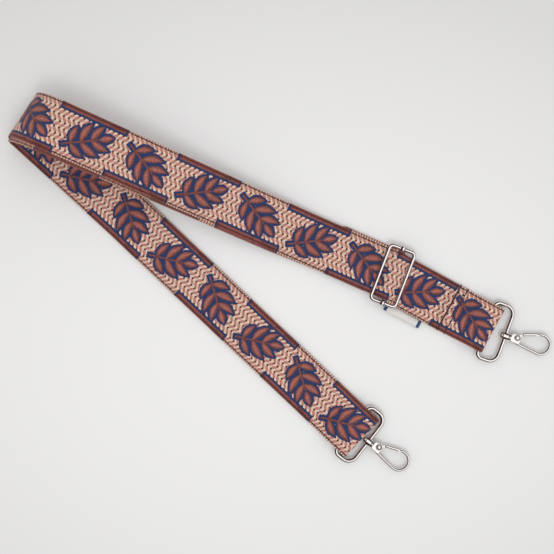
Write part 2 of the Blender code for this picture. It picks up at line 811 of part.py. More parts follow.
def say_axes():
    """Print each joint's place and direction in the table's frame, in metres."""
    bpy.context.view_layer.update()
    for thing in parts.objects:
        if thing.type == "EMPTY":
            spot = thing.matrix_world.translation
            ahead = thing.matrix_world.to_3x3() @ Vector((1.0, 0.0, 0.0))
            left = thing.matrix_world.to_3x3() @ Vector((0.0, 1.0, 0.0))
            print(thing.name, "at", [round(value, 6) for value in spot],
                  "ahead", [round(value, 6) for value in ahead],
                  "left", [round(value, 6) for value in left])


def say_webbing_length(lay):
    """Print the length of webbing in the strap, from its sewn end to its sewn end."""
    fold_run = lay.slider_run / cos(lay_angle)
    total = 2 * fold_run + 2 * lower_strand_length + tail_length
    total += flap_length + slider_flap_length + pi * (2 * hairpin_radius + loop_radius)
    print("webbing length in m:", round(total, 3))


def build_strap():
    clear_scene()
    weave = finish_of("patterned_webbing", (0.52, 0.30, 0.24), 0.85)
    ribbon = finish_of("label_ribbon", (0.82, 0.80, 0.76), 0.8)
    chrome = finish_of("bright_nickel", (0.78, 0.77, 0.75), 0.16, 1.0)
    steel = finish_of("spring_steel", (0.55, 0.55, 0.56), 0.3, 1.0)
    lay = Lay()
    table = empty_at("table_frame", None, turn=table_turn)
    slide_axis = empty_at("slide_axis", table, lay.upper.point(0.0, 0.0, slider_height),
                          lay_angle)
    slider_frame = empty_at("slider_frame_turn", slide_axis, turn=slider_yaw)
    fold_ply("strap_fold_outer", lay, 1, False, weave, table)
    fold_ply("strap_fold_inner", lay, -1, True, weave, table)
    through_run(lay, weave, table)
    under_run(lay, weave, table)
    slider_loop(lay, weave, table)
    sewn_end(lay, weave, table)
    lower_plies(lay, weave, table)
    side_label(lay, ribbon, table)
    build_slider(lay, chrome, slider_frame)
    build_clasp("a", lay.tail, tail_length, ring_inset_a, ring_shift_a, ring_yaw_a,
                chrome, steel, table)
    build_clasp("b", lay.lower, lower_strand_length, ring_inset_b, ring_shift_b, ring_yaw_b,
                chrome, steel, table)
    shade_parts()
    low, high = world_box()
    table.location = (-(low.x + high.x) / 2, -(low.y + high.y) / 2, 0.0)
    say_axes()
    say_webbing_length(lay)


build_strap()
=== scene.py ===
# %% [markdown]
# # A detachable bag strap
# This lesson dresses a bag strap that lies folded in half on a pale table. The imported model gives
# the frame: its bodies and joints say where every piece belongs and how it moves. Each cell then
# builds one piece of webbing or metal over that frame, and gives it a finish made of nodes.

# %% Load the frame
import json
from math import asin, atan, atan2, cos, pi, radians, sin, tan
import bmesh
import bpy
from mathutils import Matrix, Vector


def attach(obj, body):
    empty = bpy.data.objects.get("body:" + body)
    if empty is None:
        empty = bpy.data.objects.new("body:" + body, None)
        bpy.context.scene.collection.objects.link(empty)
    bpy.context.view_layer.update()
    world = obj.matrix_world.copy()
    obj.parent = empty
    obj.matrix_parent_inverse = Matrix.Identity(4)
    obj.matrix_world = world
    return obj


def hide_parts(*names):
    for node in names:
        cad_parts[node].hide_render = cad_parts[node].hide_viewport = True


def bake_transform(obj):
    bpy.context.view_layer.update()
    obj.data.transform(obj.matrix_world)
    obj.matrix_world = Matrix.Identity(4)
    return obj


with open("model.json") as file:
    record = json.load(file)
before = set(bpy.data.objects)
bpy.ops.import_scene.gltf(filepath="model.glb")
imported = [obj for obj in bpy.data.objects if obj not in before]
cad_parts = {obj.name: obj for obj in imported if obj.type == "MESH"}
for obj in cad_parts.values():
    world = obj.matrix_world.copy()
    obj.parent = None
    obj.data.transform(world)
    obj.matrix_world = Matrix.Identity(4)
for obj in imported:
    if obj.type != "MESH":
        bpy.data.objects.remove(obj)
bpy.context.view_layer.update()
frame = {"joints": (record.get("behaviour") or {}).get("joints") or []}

joints = {joint["name"]: joint for joint in frame["joints"]}

# %% [markdown]
# ## Sizes
# The pieces in this scene have to lie where the solids lie, so the same sizes come first. All are
# in metres. The webbing is 38 mm wide and two plies lie face to back almost everywhere.

# %% Sizes of the webbing and of how it lies
webbing_width = 0.038
webbing_thickness = 0.0013
seat_gap = 0.0003
layer_pitch = webbing_thickness + seat_gap
edge_loops = 0.0006
half_width = webbing_width / 2 + edge_loops
half_thick = webbing_thickness / 2
lay_angle = radians(9.85)
tail_heading = radians(5.05)
skew_run = 0.030
turn_before_slider = 0.006
fold_tight = (0.0069, radians(88.0))
fold_easy_radius = 0.0277
fall_angle = radians(9.6)
landing_radius = 0.2325
flat_run_length = 0.0549
lower_length = 0.3519
tail_length = 0.0893
inner_drift_at_fold = -0.0016
inner_bulge = -0.0019
bulge_rise_run = 0.030
bulge_fade_run = 0.110
inner_drift_at_slider = 0.0013
flap_length = 0.043
slider_flap_length = 0.030
tunnel_rise_run = 0.020
slider_flap_drop_run = 0.009
joint_before_landing = 0.092
ring_wire = 0.0034
slider_wire = 0.0024
slider_bar_spacing = 0.0102
slider_yaw = radians(2.7)
slider_bar_diameter = 0.0022
ring_inset = {"a": 0.0060, "b": 0.0109}
ring_yaw = {"a": radians(8.25), "b": radians(5.3)}
hairpin_radius = ring_wire / 2 + seat_gap + half_thick
under_bar_radius = slider_wire / 2 + seat_gap + half_thick
loop_radius = slider_bar_diameter / 2 + seat_gap + half_thick
over_loop_radius = loop_radius + layer_pitch
slider_height = 3 * layer_pitch + slider_wire / 2
pass_turn = asin((under_bar_radius + over_loop_radius) / slider_bar_spacing)
pass_straight = slider_bar_spacing * cos(pass_turn)
pass_skew = lay_angle + slider_yaw - tail_heading
print("slope through the slider in degrees:", round(pass_turn * 180 / pi, 1))

# %% [markdown]
# ## The strap's own frame
# The strap was drawn in a frame whose x axis runs along the fold's profile. Two joints are enough
# to find that frame again: the slider's slide gives its turn, and the ring of clasp B its place.
# Reading them from the model is safer than copying numbers, since they move with it.

# %% The matrix from the strap's frame to the table
slide_axis = Vector(joints["slider_slide"]["axis"])
table_turn = atan2(slide_axis.y, slide_axis.x) - lay_angle
ring_b_place = Vector(joints["ring_b_swing"]["pos_m"])
ring_b_along = lower_length - ring_inset["b"]
turn_matrix = Matrix.Rotation(table_turn, 4, "Z")
ring_b_local = Vector((ring_b_along * cos(lay_angle), -ring_b_along * sin(lay_angle), 0.0))
fold_start = ring_b_place - turn_matrix @ ring_b_local
fold_start.z = 0.0
table = Matrix.Translation(fold_start) @ turn_matrix
print("fold starts at", [round(value, 5) for value in fold_start])

# %% [markdown]
# ## Camera
# The photograph was taken straight from above, about 66 cm over the table. The near strands look
# a little larger than the far table, so the height matters as much as the field of view.

# %% Camera over the table
def place_object(name, data):
    """A new object, linked into the scene."""
    thing = bpy.data.objects.new(name, data)
    bpy.context.scene.collection.objects.link(thing)
    return thing


camera_from_fold = Vector((0.1894, -0.1163))
camera_height = 0.663
field_width = 0.43212
camera_data = bpy.data.cameras.new("overhead_camera")
camera_data.sensor_width = 36.0
camera_data.lens = camera_data.sensor_width * camera_height / field_width
camera = place_object("overhead_camera", camera_data)
camera.location = (fold_start.x + camera_from_fold.x, fold_start.y + camera_from_fold.y,
                   camera_height)
bpy.context.scene.camera = camera
print("lens in mm:", round(camera_data.lens, 1))

# %% [markdown]
# ## Shader sums as Python
# A woven pattern needs a long chain of sums. Nodes wired by hand would hide the idea, so a small
# class wraps a socket: ordinary operators then add the Math nodes, and one function adds any
# other node from its type, its settings and its inputs.

# %% A socket that can be used in sums
class Wire:
    """One output socket of a shader's node tree."""

    def __init__(self, tree, socket):
        self.tree = tree
        self.socket = socket

    def math(self, operation, *others):
        node = self.tree.nodes.new("ShaderNodeMath")
        node.operation = operation
        for place, item in zip(node.inputs, (self, *others)):
            plug(self.tree, place, item)
        return Wire(self.tree, node.outputs[0])

    def __rsub__(self, other):
        return self * -1.0 + other

    def ramp(self, start, end):
        """0 before start and 1 after end, smoothly between."""
        return add_node(self.tree, "ShaderNodeMapRange", {"interpolation_type": "SMOOTHSTEP"},
                        {0: self, 1: start, 2: end, 3: 0.0, 4: 1.0})


def math_method(operation):
    return lambda wire, *others: wire.math(operation, *others)


for name, operation in (("__add__", "ADD"), ("__radd__", "ADD"), ("__sub__", "SUBTRACT"),
                        ("__mul__", "MULTIPLY"), ("__truediv__", "DIVIDE"),
                        ("__mod__", "FLOORED_MODULO"), ("__abs__", "ABSOLUTE"),
                        ("below", "LESS_THAN"), ("above", "GREATER_THAN"), ("least", "MINIMUM"),
                        ("most", "MAXIMUM"), ("floor", "FLOOR"), ("sine", "SINE")):
    setattr(Wire, name, math_method(operation))


def plug(tree, place, item):
    """Link a wire into a socket, or write a plain value there."""
    if isinstance(item, Wire):
        tree.links.new(item.socket, place)
    else:
        place.default_value = item


def add_node(tree, kind, settings=None, inputs=None, output=0):
    """Any node: its settings first, then its sockets, by name or by number."""
    node = tree.nodes.new(kind)
    for name, value in (settings or {}).items():
        setattr(node, name, value)
    for key, item in (inputs or {}).items():
        plug(tree, node.inputs[key], item)
    return Wire(tree, node.outputs[output])


print("a socket can be used in sums")

# %% Mixed and shaded colours
def mix(tree, share, low, high):
    """One colour over another by a share."""
    return add_node(tree, "ShaderNodeMix", {"data_type": "RGBA"}, {0: share, 6: low, 7: high}, 2)


def shade(tree, colour, factor):
    """A colour made lighter or darker by a plain factor."""
    return add_node(tree, "ShaderNodeVectorMath", {"operation": "SCALE"}, {0: colour, 3: factor})


def linear(red, green, blue):
    """A colour given in 0 to 255, as the linear numbers that a shader wants."""
    steps = [value / 255 for value in (red, green, blue)]
    return [((value + 0.055) / 1.055) ** 2.4 for value in steps] + [1.0]


print("colours can be mixed")

# %% Places, noise, bump and a new finish
def component(tree, vector, axis):
    return add_node(tree, "ShaderNodeSeparateXYZ", {}, {0: vector}, axis)


def object_place(tree):
    return add_node(tree, "ShaderNodeTexCoord", {}, {}, "Object")


def noise(tree, scale, detail=2.0):
    """Noise in the room's own metres."""
    return add_node(tree, "ShaderNodeTexNoise", {}, {"Vector": object_place(tree),
                                                     "Scale": scale, "Detail": detail})


def flat_noise(tree, along, across, detail):
    """Noise over the webbing, stretched by what the two wires were multiplied with."""
    place = add_node(tree, "ShaderNodeCombineXYZ", {}, {0: along, 1: across})
    return add_node(tree, "ShaderNodeTexNoise", {"noise_dimensions": "2D"},
                    {"Vector": place, "Scale": 1.0, "Detail": detail})


def bump(tree, shader, height, strength, distance):
    plug(tree, shader.inputs["Normal"], add_node(tree, "ShaderNodeBump", {}, {
        "Height": height, "Strength": strength, "Distance": distance}))


def new_finish(name, plain):
    """A material with its Principled shader; plain numbers go on the shader's own sockets."""
    material = bpy.data.materials.new(name)
    material.use_nodes = True
    shader = material.node_tree.nodes["Principled BSDF"]
    for key, value in plain.items():
        shader.inputs[key].default_value = value
    return material, material.node_tree, shader


print("shader helpers are ready")

# %% [markdown]
# ## The webbing's colours and weave
# The real webbing is a jacquard: peach and rose yarns make a zigzag ground, and brick-brown satin
# shapes with navy outlines float on it. An image texture would blur and repeat badly, so
# the design is worked out in millimetres along and across the strap. The motif is a plain leafy
# sprig, turned over from one repeat to the next, between dashed brown borders.

# %% Colours of the yarns
peach = linear(238, 211, 190)
rose = linear(202, 134, 122)
brick = linear(173, 104, 95)
# dark brick of the borders, and the painted shade at the edges of each leaf
brick_dark_and_painted_leaf_shade = linear(121, 66, 60)
navy = linear(42, 62, 108)
thread_brown = linear(72, 34, 38)
edge_thread = linear(84, 42, 42)
dot_brown = linear(92, 42, 44)
back_rose = linear(160, 104, 92)
print("brick in linear numbers:", [round(value, 3) for value in brick[:3]])

# %% [markdown]
# All sizes of the design are in millimetres. A pick is one step of the loom, and the motif's
# outline goes in such steps. The borders are dashes on both sides, shifted by one repeat.

# %% Sizes of the design
repeat = 46.0
pick = 0.56
motif_scale = 1.08
motif_shift = 1.3
# painted light: a copy of the sprig this far off paints one side of each leaf lighter, the other
# darker
painted_light_along, painted_light_across = 0.6, 0.5
outline_width = 1.8
border_edge, border_half = 15.6, 24.5
piping_edge, piping_half = 13.9, 26.2
loop_edge, loop_period = 18.55, 2.2
stitch_line, stitch_half = 18.0, 0.50
stitch_period, stitch_share = 2.65, 0.84
groove_half, groove_floor = 1.0, 0.2
zigzag_width, zigzag_rise = 9.2, 6.4
stroke_period, stroke_half, stroke_swell = 3.85, 0.34, 0.52
dot_area = 0.68
rib_period = 0.84
print("repeat of the design in mm:", repeat)

# %% [markdown]
# A leaf is the space between two parabolas. Its value is negative inside, so the smallest value
# of several leaves is their union, and a band just above zero is the outline. A sprig is the same
# on both sides of its stem, so the distance from the stem does for two leaves at once.

# %% The leafy sprig
sprig_turn = radians(30.0)
leaf_shapes = [(-11.5, 58.0, 13.0, 2.35), (-4.8, 50.0, 16.0, 2.6), (2.6, 40.0, 14.5, 2.5),
               (7.8, 0.0, 12.5, 2.5)]
leaf_bend = 0.02
stem_middle, stem_reach, stem_half = -4.0, 12.5, 0.7


def leaf(along, beside, start, lean, length, half):
    """Below zero inside one leaf that leans away from the stem."""
    lean = radians(lean)
    ahead = (along - start) * cos(lean) + beside * sin(lean) - length / 2
    aside = beside * cos(lean) - (along - start) * sin(lean) + ahead * ahead * leaf_bend
    share = ahead / (length / 2)
    return abs(aside) - (1.0 - share * share) * half


def sprig(along, across):
    """The union of a sprig's leaves and stem, in millimetres from its outline."""
    ahead = along * cos(sprig_turn) + across * sin(sprig_turn)
    beside = abs(across * cos(sprig_turn) - along * sin(sprig_turn))
    shape = (abs(ahead - stem_middle) - stem_reach).most(beside - stem_half)
    for start, lean, length, half in leaf_shapes:
        shape = shape.least(leaf(ahead, beside, start, lean, length, half))
    return shape


print("leaves in a sprig:", 2 * len(leaf_shapes) - 1)

# %% [markdown]
# The finish is built once for each way of finding the place on the webbing. Runs that stay still
# carry their own length in a UV map, so the design follows every bend. Runs that the slider pulls
# along take it from where they are, so the weave stays put while the webbing passes through.

# %% Two ways to find a place
def millimetres_from_map(tree):
    """Along and across from the UV map, which is in metres."""
    place = add_node(tree, "ShaderNodeUVMap", {"uv_map": "weave"})
    return [component(tree, place, axis) * 1000.0 for axis in (0, 1)]


def millimetres_from_place(tree, origin, heading):
    """Along and across from where the surface is, for a straight stretch of strap."""
    moved = add_node(tree, "ShaderNodeVectorMath", {"operation": "SUBTRACT"},
                     {0: object_place(tree), 1: origin})
    directions = ((cos(heading), sin(heading), 0.0), (-sin(heading), cos(heading), 0.0))
    return [add_node(tree, "ShaderNodeVectorMath", {"operation": "DOT_PRODUCT"},
                     {0: moved, 1: direction}, "Value") * 1000.0 for direction in directions]


print("a place can be found in two ways")

# %% The zigzag ground
def zigzag_ground(tree, along, across):
    """Zigzag rose strokes on peach, a dark float at each corner, painted shade between strokes."""
    zigzag = abs(across / zigzag_width % 1.0 - 0.5) * zigzag_rise
    off_line = abs((along + zigzag) / stroke_period % 1.0 - 0.5) * stroke_period
    arm = zigzag_width / 2
    to_corner = (1.0 - abs(across / arm % 1.0 - 0.5) * 2.0) * (arm / 2)
    stroke = to_corner * stroke_swell + stroke_half - off_line
    ground = mix(tree, stroke.ramp(-0.12, 0.12), peach, rose)
    valley_relief_and_painted_shade = abs(stroke).ramp(0.0, 0.3)
    dots = (off_line * off_line + to_corner * to_corner).below(dot_area)
    # painted shade: the ground is painted darker where two strokes meet, along the low lines of the
    # relief
    ground = mix(tree, dots, shade(tree, ground, valley_relief_and_painted_shade * 0.14 + 0.86), dot_brown)
    return ground, valley_relief_and_painted_shade * 0.8 - dots


print("zigzag ground is ready")

# %% The motif and the edge stitches
def motif(along, across):
    """The sprig's outline, the painted light from its shifted copy, the border and its piping."""
    step_along = (along / pick).floor() * pick + pick / 2
    step_across = (across / pick).floor() * pick + pick / 2
    cell = (step_along / repeat).floor()
    upright = step_across * (1.0 - (cell % 2.0) * 2.0)
    inside = step_along - cell * repeat - repeat / 2
    shape, beside = (sprig((inside - shift_along) / motif_scale,
                           (upright + motif_shift + shift_across) / motif_scale) * motif_scale
                     for shift_along, shift_across in ((0.0, 0.0), (painted_light_along, painted_light_across)))
    from_dash = (step_along + repeat / 2 - step_across.below(0.0) * repeat) % (2 * repeat)
    from_dash = abs(from_dash - repeat)
    edge = abs(step_across)
    border = edge.above(border_edge) * from_dash.below(border_half)
    piping = edge.above(piping_edge) * from_dash.below(piping_half) * (1.0 - border)
    return shape, beside - shape, border, piping


def edge_stitches(along, across):
    """Stitches along both edges, and the dip they pull in, used for bump and painted shade."""
    from_line = abs(abs(across) - stitch_line)
    stitch = from_line.below(stitch_half) * (along / stitch_period % 1.0).below(stitch_share)
    return stitch, from_line.ramp(groove_half, groove_floor)


print("the parts of the weave are ready")

# %% The webbing finish
def webbing_finish(name, find_place):
    """Ground, loops, sprig, border, stitches and the plain back, laid over each other."""
    material, tree, shader = new_finish(name, {"Sheen Weight": 0.12, "Sheen Roughness": 0.5,
                                               "Specular IOR Level": 0.25})
    along, across = find_place(tree)
    ground, ground_height = zigzag_ground(tree, along, across)
    loops = mix(tree, (along / loop_period % 1.0).below(0.5), peach, brick)
    ground = mix(tree, abs(across).above(loop_edge), ground, loops)
    shape, painted_light_lead, border, piping = motif(along, across)
    # painted shade and highlight: each leaf darker at its edges and lighter down its middle; the
    # same depth raises it in the bump
    padding_and_painted_highlight = (shape * -0.55).ramp(0.0, 1.0).most(border * 0.25)
    grain = flat_noise(tree, along * 1.1, across * 1.3, 1.0)
    # painted light: one side of each leaf lighter and the other darker, as if lit from one side
    painted_lit_side = painted_light_lead.least(0.7).most(-0.7) * 0.3
    satin = shade(tree, mix(tree, padding_and_painted_highlight, brick_dark_and_painted_leaf_shade, brick), grain * 1.8 + painted_lit_side + 0.1)
    colour = mix(tree, shape.below(outline_width).most(piping), ground, navy)
    colour = mix(tree, shape.below(0.0).most(border), colour, satin)
    stitch, groove_depth_and_painted_shade = edge_stitches(along, across)
    # painted shade: the webbing is painted up to a quarter darker in the dip beside each stitch
    # line
    colour = mix(tree, stitch, shade(tree, colour, 1.0 - groove_depth_and_painted_shade * 0.25), edge_thread)
    patterned = add_node(tree, "ShaderNodeAttribute", {"attribute_name": "face"}, {}, "Fac")
    colour = mix(tree, patterned.below(0.5) * 0.35, colour, back_rose)
    yarn = flat_noise(tree, along * 0.5, across * 2.4, 2.0)
    plug(tree, shader.inputs["Base Color"], shade(tree, colour, yarn * 0.44 + 0.55))
    ribs = (along * (2 * pi / rib_period)).sine() * 0.5 + (across * 7.5).sine() * 0.5
    raised = shape.below(0.0) + padding_and_painted_highlight * 3.2 + border
    height = ribs * 0.4 + raised + ground_height - groove_depth_and_painted_shade + stitch * 0.8
    bump(tree, shader, height, 0.8, 0.0003)
    plug(tree, shader.inputs["Roughness"], 0.9 - shape.below(0.0) * 0.22)
    return material


print("webbing finish is ready")

# %% [markdown]
# ## Paths for the webbing
# Webbing is flat stock that bends only one way, so each run is a path in an upright plane: lines,
# arcs, and gentle climbs made of two arcs. A walker that remembers its heading keeps every join
# smooth, which points typed by hand would not.

# %% A walker along a profile
class Walk:
    """A path of marks: distance along, height, heading and length so far."""

    def __init__(self, along, height, heading=0.0, run=0.0):
        self.marks = [(along, height, heading, run)]

    def go(self, steps, length, chord, bend):
        """Add marks a chord apart, each turned a little from the one before."""
        for _ in range(steps):
            along, height, heading, run = self.marks[-1]
            self.marks.append((along + chord * cos(heading + bend / 2),
                               height + chord * sin(heading + bend / 2),
                               heading + bend, run + length))
        return self

    def line(self, length, piece=0.004):
        steps = max(1, round(length / piece))
        return self.go(steps, length / steps, length / steps, 0.0)

    def arc(self, radius, turn, step=radians(5.0)):
        steps = max(1, round(abs(turn) / step))
        bend = turn / steps
        return self.go(steps, radius * abs(bend), 2 * radius * sin(abs(bend) / 2), bend)

    def ease(self, rise, run_along):
        turn = 2 * atan(rise / run_along)
        radius = run_along / (2 * sin(abs(turn)))
        return self.arc(radius, turn, radians(2.0)).arc(radius, -turn, radians(2.0))


print("the walker is ready")

# %% A straight stretch of strap
class Strand:
    """A straight stretch of strap in plan."""

    def __init__(self, origin, heading):
        self.origin = Vector((origin[0], origin[1], 0.0))
        self.heading = heading
        self.ahead = Vector((cos(heading), sin(heading), 0.0))
        self.left = Vector((-sin(heading), cos(heading), 0.0))

    def point(self, along, across, height):
        return self.origin + along * self.ahead + across * self.left + Vector((0, 0, height))


print("a strand can be laid")

# %% [markdown]
# The fold's profile comes first: a tight turn at the table, an easy one over the top, a straight
# fall and a long soft landing. Everything right of it starts where this profile lands.

# %% The fold's profile and the strands
low_middle = webbing_thickness + seat_gap / 2
high_middle = low_middle + layer_pitch
bend = Walk(0.0, low_middle, pi)
bend.arc(fold_tight[0], -fold_tight[1])
bend.arc(fold_easy_radius, -(pi - fold_tight[1] + fall_angle), radians(4.0))
landing_drop = landing_radius * (1 - cos(fall_angle))
bend.line((bend.marks[-1][1] - high_middle - landing_drop) / sin(fall_angle))
landing = Walk(*bend.marks[-1]).arc(landing_radius, fall_angle, radians(0.8))
landed = landing.marks[-1]
slider_run = landed[3] + flat_run_length * cos(lay_angle)
slider_place = (landed[0] + flat_run_length * cos(lay_angle), tan(lay_angle) * slider_run)
upper = Strand(slider_place, lay_angle)
tail = Strand(slider_place, tail_heading)
to_middle = turn_before_slider * cos(slider_yaw) / cos(pass_skew)
tail.origin = upper.point(-turn_before_slider, 0.0, 0.0) + to_middle * tail.ahead
lower = Strand((0.0, 0.0), -lay_angle)
joint_run = landed[3] - joint_before_landing
print("fold run in mm:", round(slider_run * 1000, 1))

# %% [markdown]
# ## Laying a run of webbing
# Each mark becomes a station: a middle point, the direction across the strap and the direction
# its patterned face looks. A thin section with rounded selvages is set at every station and the
# sections are joined. Away from the fold a station is square to the strap; in the fold it lies
# along the crease, so the surface bends without stretching, as real webbing does.

# %% Stations
def clamp(share):
    return min(1.0, max(0.0, share))


def drift_at(run):
    """How far the inner ply lies beside the outer one."""
    share = clamp(run / slider_run)
    rise = clamp(run / bulge_rise_run)
    fade = clamp((slider_run - run) / bulge_fade_run)
    bulge = inner_bulge * rise * rise * (3 - 2 * rise) * fade * fade * (3 - 2 * fade)
    return inner_drift_at_fold + share * (inner_drift_at_slider - inner_drift_at_fold) + bulge


def fold_station(mark, offset, drift, face):
    along, height, heading, run = mark
    point = Vector((along - offset * sin(heading), tan(lay_angle) * run + drift / cos(lay_angle),
                    height + offset * cos(heading)))
    side = Vector((0.0, 1 / cos(lay_angle), 0.0))
    normal = Vector((-sin(heading), 0.0, cos(heading))) * face
    return point, side, normal, tan(lay_angle)


def strand_station(strand, mark, face, drift=0.0, skew=0.0):
    along, height, heading, _ = mark
    point = strand.point(along, drift, height)
    turned = strand.heading + skew
    side = Vector((-sin(turned), cos(turned), 0.0))
    normal = (cos(heading) * Vector((0.0, 0.0, 1.0)) - sin(heading) * strand.ahead) * face
    return point, side, normal, -tan(skew)


def section():
    """Points round the webbing's cut: across, and out towards the patterned face."""
    flat = half_width - half_thick
    rounds = [pi / 2 - step * pi / 6 for step in range(7)]
    right = [(flat + half_thick * cos(angle), half_thick * sin(angle)) for angle in rounds]
    level = [flat * (1 - step / 5) for step in range(1, 10)]
    below = [(across, -half_thick) for across in level]
    left = [(-across, -height) for across, height in right]
    above = [(-across, half_thick) for across in level]
    return right + below + left + above


print("points round a section:", len(section()))

# %% [markdown]
# Webbing, wire and thread are all rows of rings joined into a skin, so one helper joins them. Where
# a ring is a single point on an axis, it leaves the doubled corner out.

# %% Rings joined into a skin
def skin(shape, rings, closed=False):
    """Join each ring to the next one, and the last to the first where the run is closed."""
    for one, two in zip(rings, rings[1:] + rings[:1] if closed else rings[1:]):
        for index, corner in enumerate(one):
            after = (index + 1) % len(one)
            corners = dict.fromkeys((corner, one[after], two[after], two[index]))
            shape.faces.new(list(corners))


def cap(shape, rings):
    """Close both ends of a run."""
    return [shape.faces.new(rings[0]), shape.faces.new(list(reversed(rings[-1])))]


def write_map(shape, layer, place_of):
    """Give each corner its vertex's place in the UV map."""
    for polygon in shape.faces:
        for corner in polygon.loops:
            corner[layer].uv = place_of[corner.vert]


def mesh_of(name, shape):
    mesh = bpy.data.meshes.new(name)
    shape.to_mesh(mesh)
    shape.free()
    return mesh


print("rings can be joined")

# %% Webbing from stations
def lay_webbing(name, stations, along_start, direction):
    """Join a section at every station; the UV map holds metres along and across."""
    shape = bmesh.new()
    weave = shape.loops.layers.uv.new("weave")
    face_layer = shape.verts.layers.float.new("face")
    rings = []
    along = along_start
    before = stations[0][0]
    place_of = {}
    for point, side, normal, slant in stations:
        along += direction * (point - before).length
        before = point
        ring = []
        for across, out in section():
            vertex = shape.verts.new(table @ (point + side * across + normal * out))
            vertex[face_layer] = 1.0 if out > -0.3 * half_thick else 0.0
            place_of[vertex] = (along + slant * across, across)
            ring.append(vertex)
        rings.append(ring)
    skin(shape, rings)
    caps = cap(shape, rings)
    bmesh.ops.recalc_face_normals(shape, faces=shape.faces)
    for polygon in shape.faces:
        polygon.smooth = polygon not in caps
    write_map(shape, weave, place_of)
    piece = place_object(name, mesh_of(name, shape))
    length = abs(along - along_start)
    print(name, "length in mm:", round(length * 1000, 1))
    return piece, length


# %% [markdown]
# ## The folded run
# From the long slope the outer ply goes round the bend, along the table to clasp B, round its
# ring, back on top of itself, and up inside the bend. It is one length of webbing on the real
# strap, so it is one mesh here, and the design runs on through every turn.

# %% Hairpin round a ring bar
def hairpin_marks(start, end, letter, lower_reach):
    yaw_room = half_width * tan(ring_yaw[letter])
    parallel = ring_inset[letter] + yaw_room + ring_wire / 2 + seat_gap
    path = Walk(start, half_thick + layer_pitch)
    path.line(end - start - parallel - tunnel_rise_run)
    path.ease(2 * hairpin_radius - layer_pitch, tunnel_rise_run)
    path.line(parallel - hairpin_radius - half_thick)
    path.arc(hairpin_radius, -pi, radians(12.0))
    path.line(lower_reach - hairpin_radius - half_thick)
    return path.marks


side_room = 0.004
loop_marks = hairpin_marks(side_room, lower_length, "b", lower_length - side_room)
print("marks round clasp B:", len(loop_marks))

# %% The folded run of webbing
slope_marks = [mark for mark in bend.marks if mark[3] <= joint_run]
stations = [fold_station(mark, layer_pitch / 2, 0.0, 1) for mark in reversed(slope_marks)]
stations += [strand_station(lower, mark, 1) for mark in reversed(loop_marks)]
settled = 23
for count in range(settled):
    place = len(stations) - 1 - count
    point, side, normal, slant = stations[place]
    share = 1 - count / settled
    stations[place] = (point + lower.left * inner_drift_at_fold * share, side, normal, slant)
stations += [fold_station(mark, -layer_pitch / 2, drift_at(mark[3]), -1)
             for mark in slope_marks]
slope_top = fold_station(slope_marks[-1], layer_pitch / 2, 0.0, 1)[0]
along_at_joint = (slope_top - upper.origin).dot(upper.ahead)
folded_run, folded_length = lay_webbing("webbing_folded_run", stations, along_at_joint, -1)

# %% [markdown]
# ## Through the slider
# The outer ply goes under the slider's left bar, over its middle and under its right bar, and the
# slider pulls this shape along. It is built as a run left of the slider and a short run right of
# it.

# %% The run that passes through the slider
fine_piece, fine_turn = 0.002, radians(6.0)
rest_marks = [mark for mark in bend.marks if mark[3] >= slope_marks[-1][3]]
slope_down = rest_marks + landing.marks[1:]
left_stations = [fold_station(mark, layer_pitch / 2, 0.0, 1) for mark in slope_down]
level = slider_height - under_bar_radius
flat_walk = Walk(-flat_run_length, level).line(flat_run_length - slider_bar_spacing)
hump = Walk(-slider_bar_spacing, level)
hump.arc(under_bar_radius, pass_turn, fine_turn).line(pass_straight, fine_piece)
hump.arc(over_loop_radius, -2 * pass_turn, fine_turn)
hump.line(pass_straight, fine_piece).arc(under_bar_radius, pass_turn, fine_turn)
left_stations += [strand_station(upper, mark, 1) for mark in flat_walk.marks[2:-2]]
left_stations += [strand_station(tail, (mark[0] / cos(pass_skew), *mark[1:]), 1, skew=pass_skew)
                  for mark in hump.marks]
left_run, left_length = lay_webbing("webbing_through_run", left_stations, 0.0, 1)

# %% The short run right of the slider
sewn_start = tail_length - flap_length - 2 * seat_gap
tail_walk = Walk(slider_bar_spacing / cos(pass_skew), level).line(under_bar_radius, fine_piece)
end_level = half_thick + layer_pitch
tail_walk.ease(end_level - level, sewn_start - slider_bar_spacing - 2 * under_bar_radius)
tail_walk.line(sewn_start - tail_walk.marks[-1][0])
right_stations = []
for mark in tail_walk.marks:
    share = clamp((mark[0] - slider_bar_spacing) / skew_run)
    share = 0.0 if mark is tail_walk.marks[0] else share
    right_stations.append(strand_station(tail, mark, 1, skew=(1 - share) * pass_skew))
right_run, right_length = lay_webbing("webbing_tail_run", right_stations, 0.0, 1)

# %% [markdown]
# ## The webbing's other end
# The inner ply comes down under the outer one, climbs over the slider's middle bar, turns round
# it and is sewn back to its own underside.

# %% The run sewn round the slider's bar
end_stations = [fold_station(mark, -layer_pitch / 2, drift_at(mark[3]), -1)
                for mark in slope_down]
loop = Walk(-flat_run_length, half_thick + layer_pitch)
loop.line(flat_run_length - slider_bar_spacing)
loop.arc(under_bar_radius + layer_pitch, pass_turn).line(pass_straight, fine_piece)
loop.arc(loop_radius, -pass_turn, radians(10.0)).arc(loop_radius, -pi, radians(12.0))
loop.ease(slider_height - loop_radius - half_thick, slider_flap_drop_run)
loop.line(slider_flap_length - slider_flap_drop_run)
end_stations += [strand_station(upper, mark, -1, drift=inner_drift_at_slider, skew=slider_yaw)
                 for mark in loop.marks[2:]]
end_run, end_length = lay_webbing("webbing_slider_end", end_stations, 0.0, 1)

# %% [markdown]
# ## The sewn end
# Clasp A's ring sits in the end of the webbing, folded over it and sewn down with two rows across
# the strap. The rows pull the plies together a little.

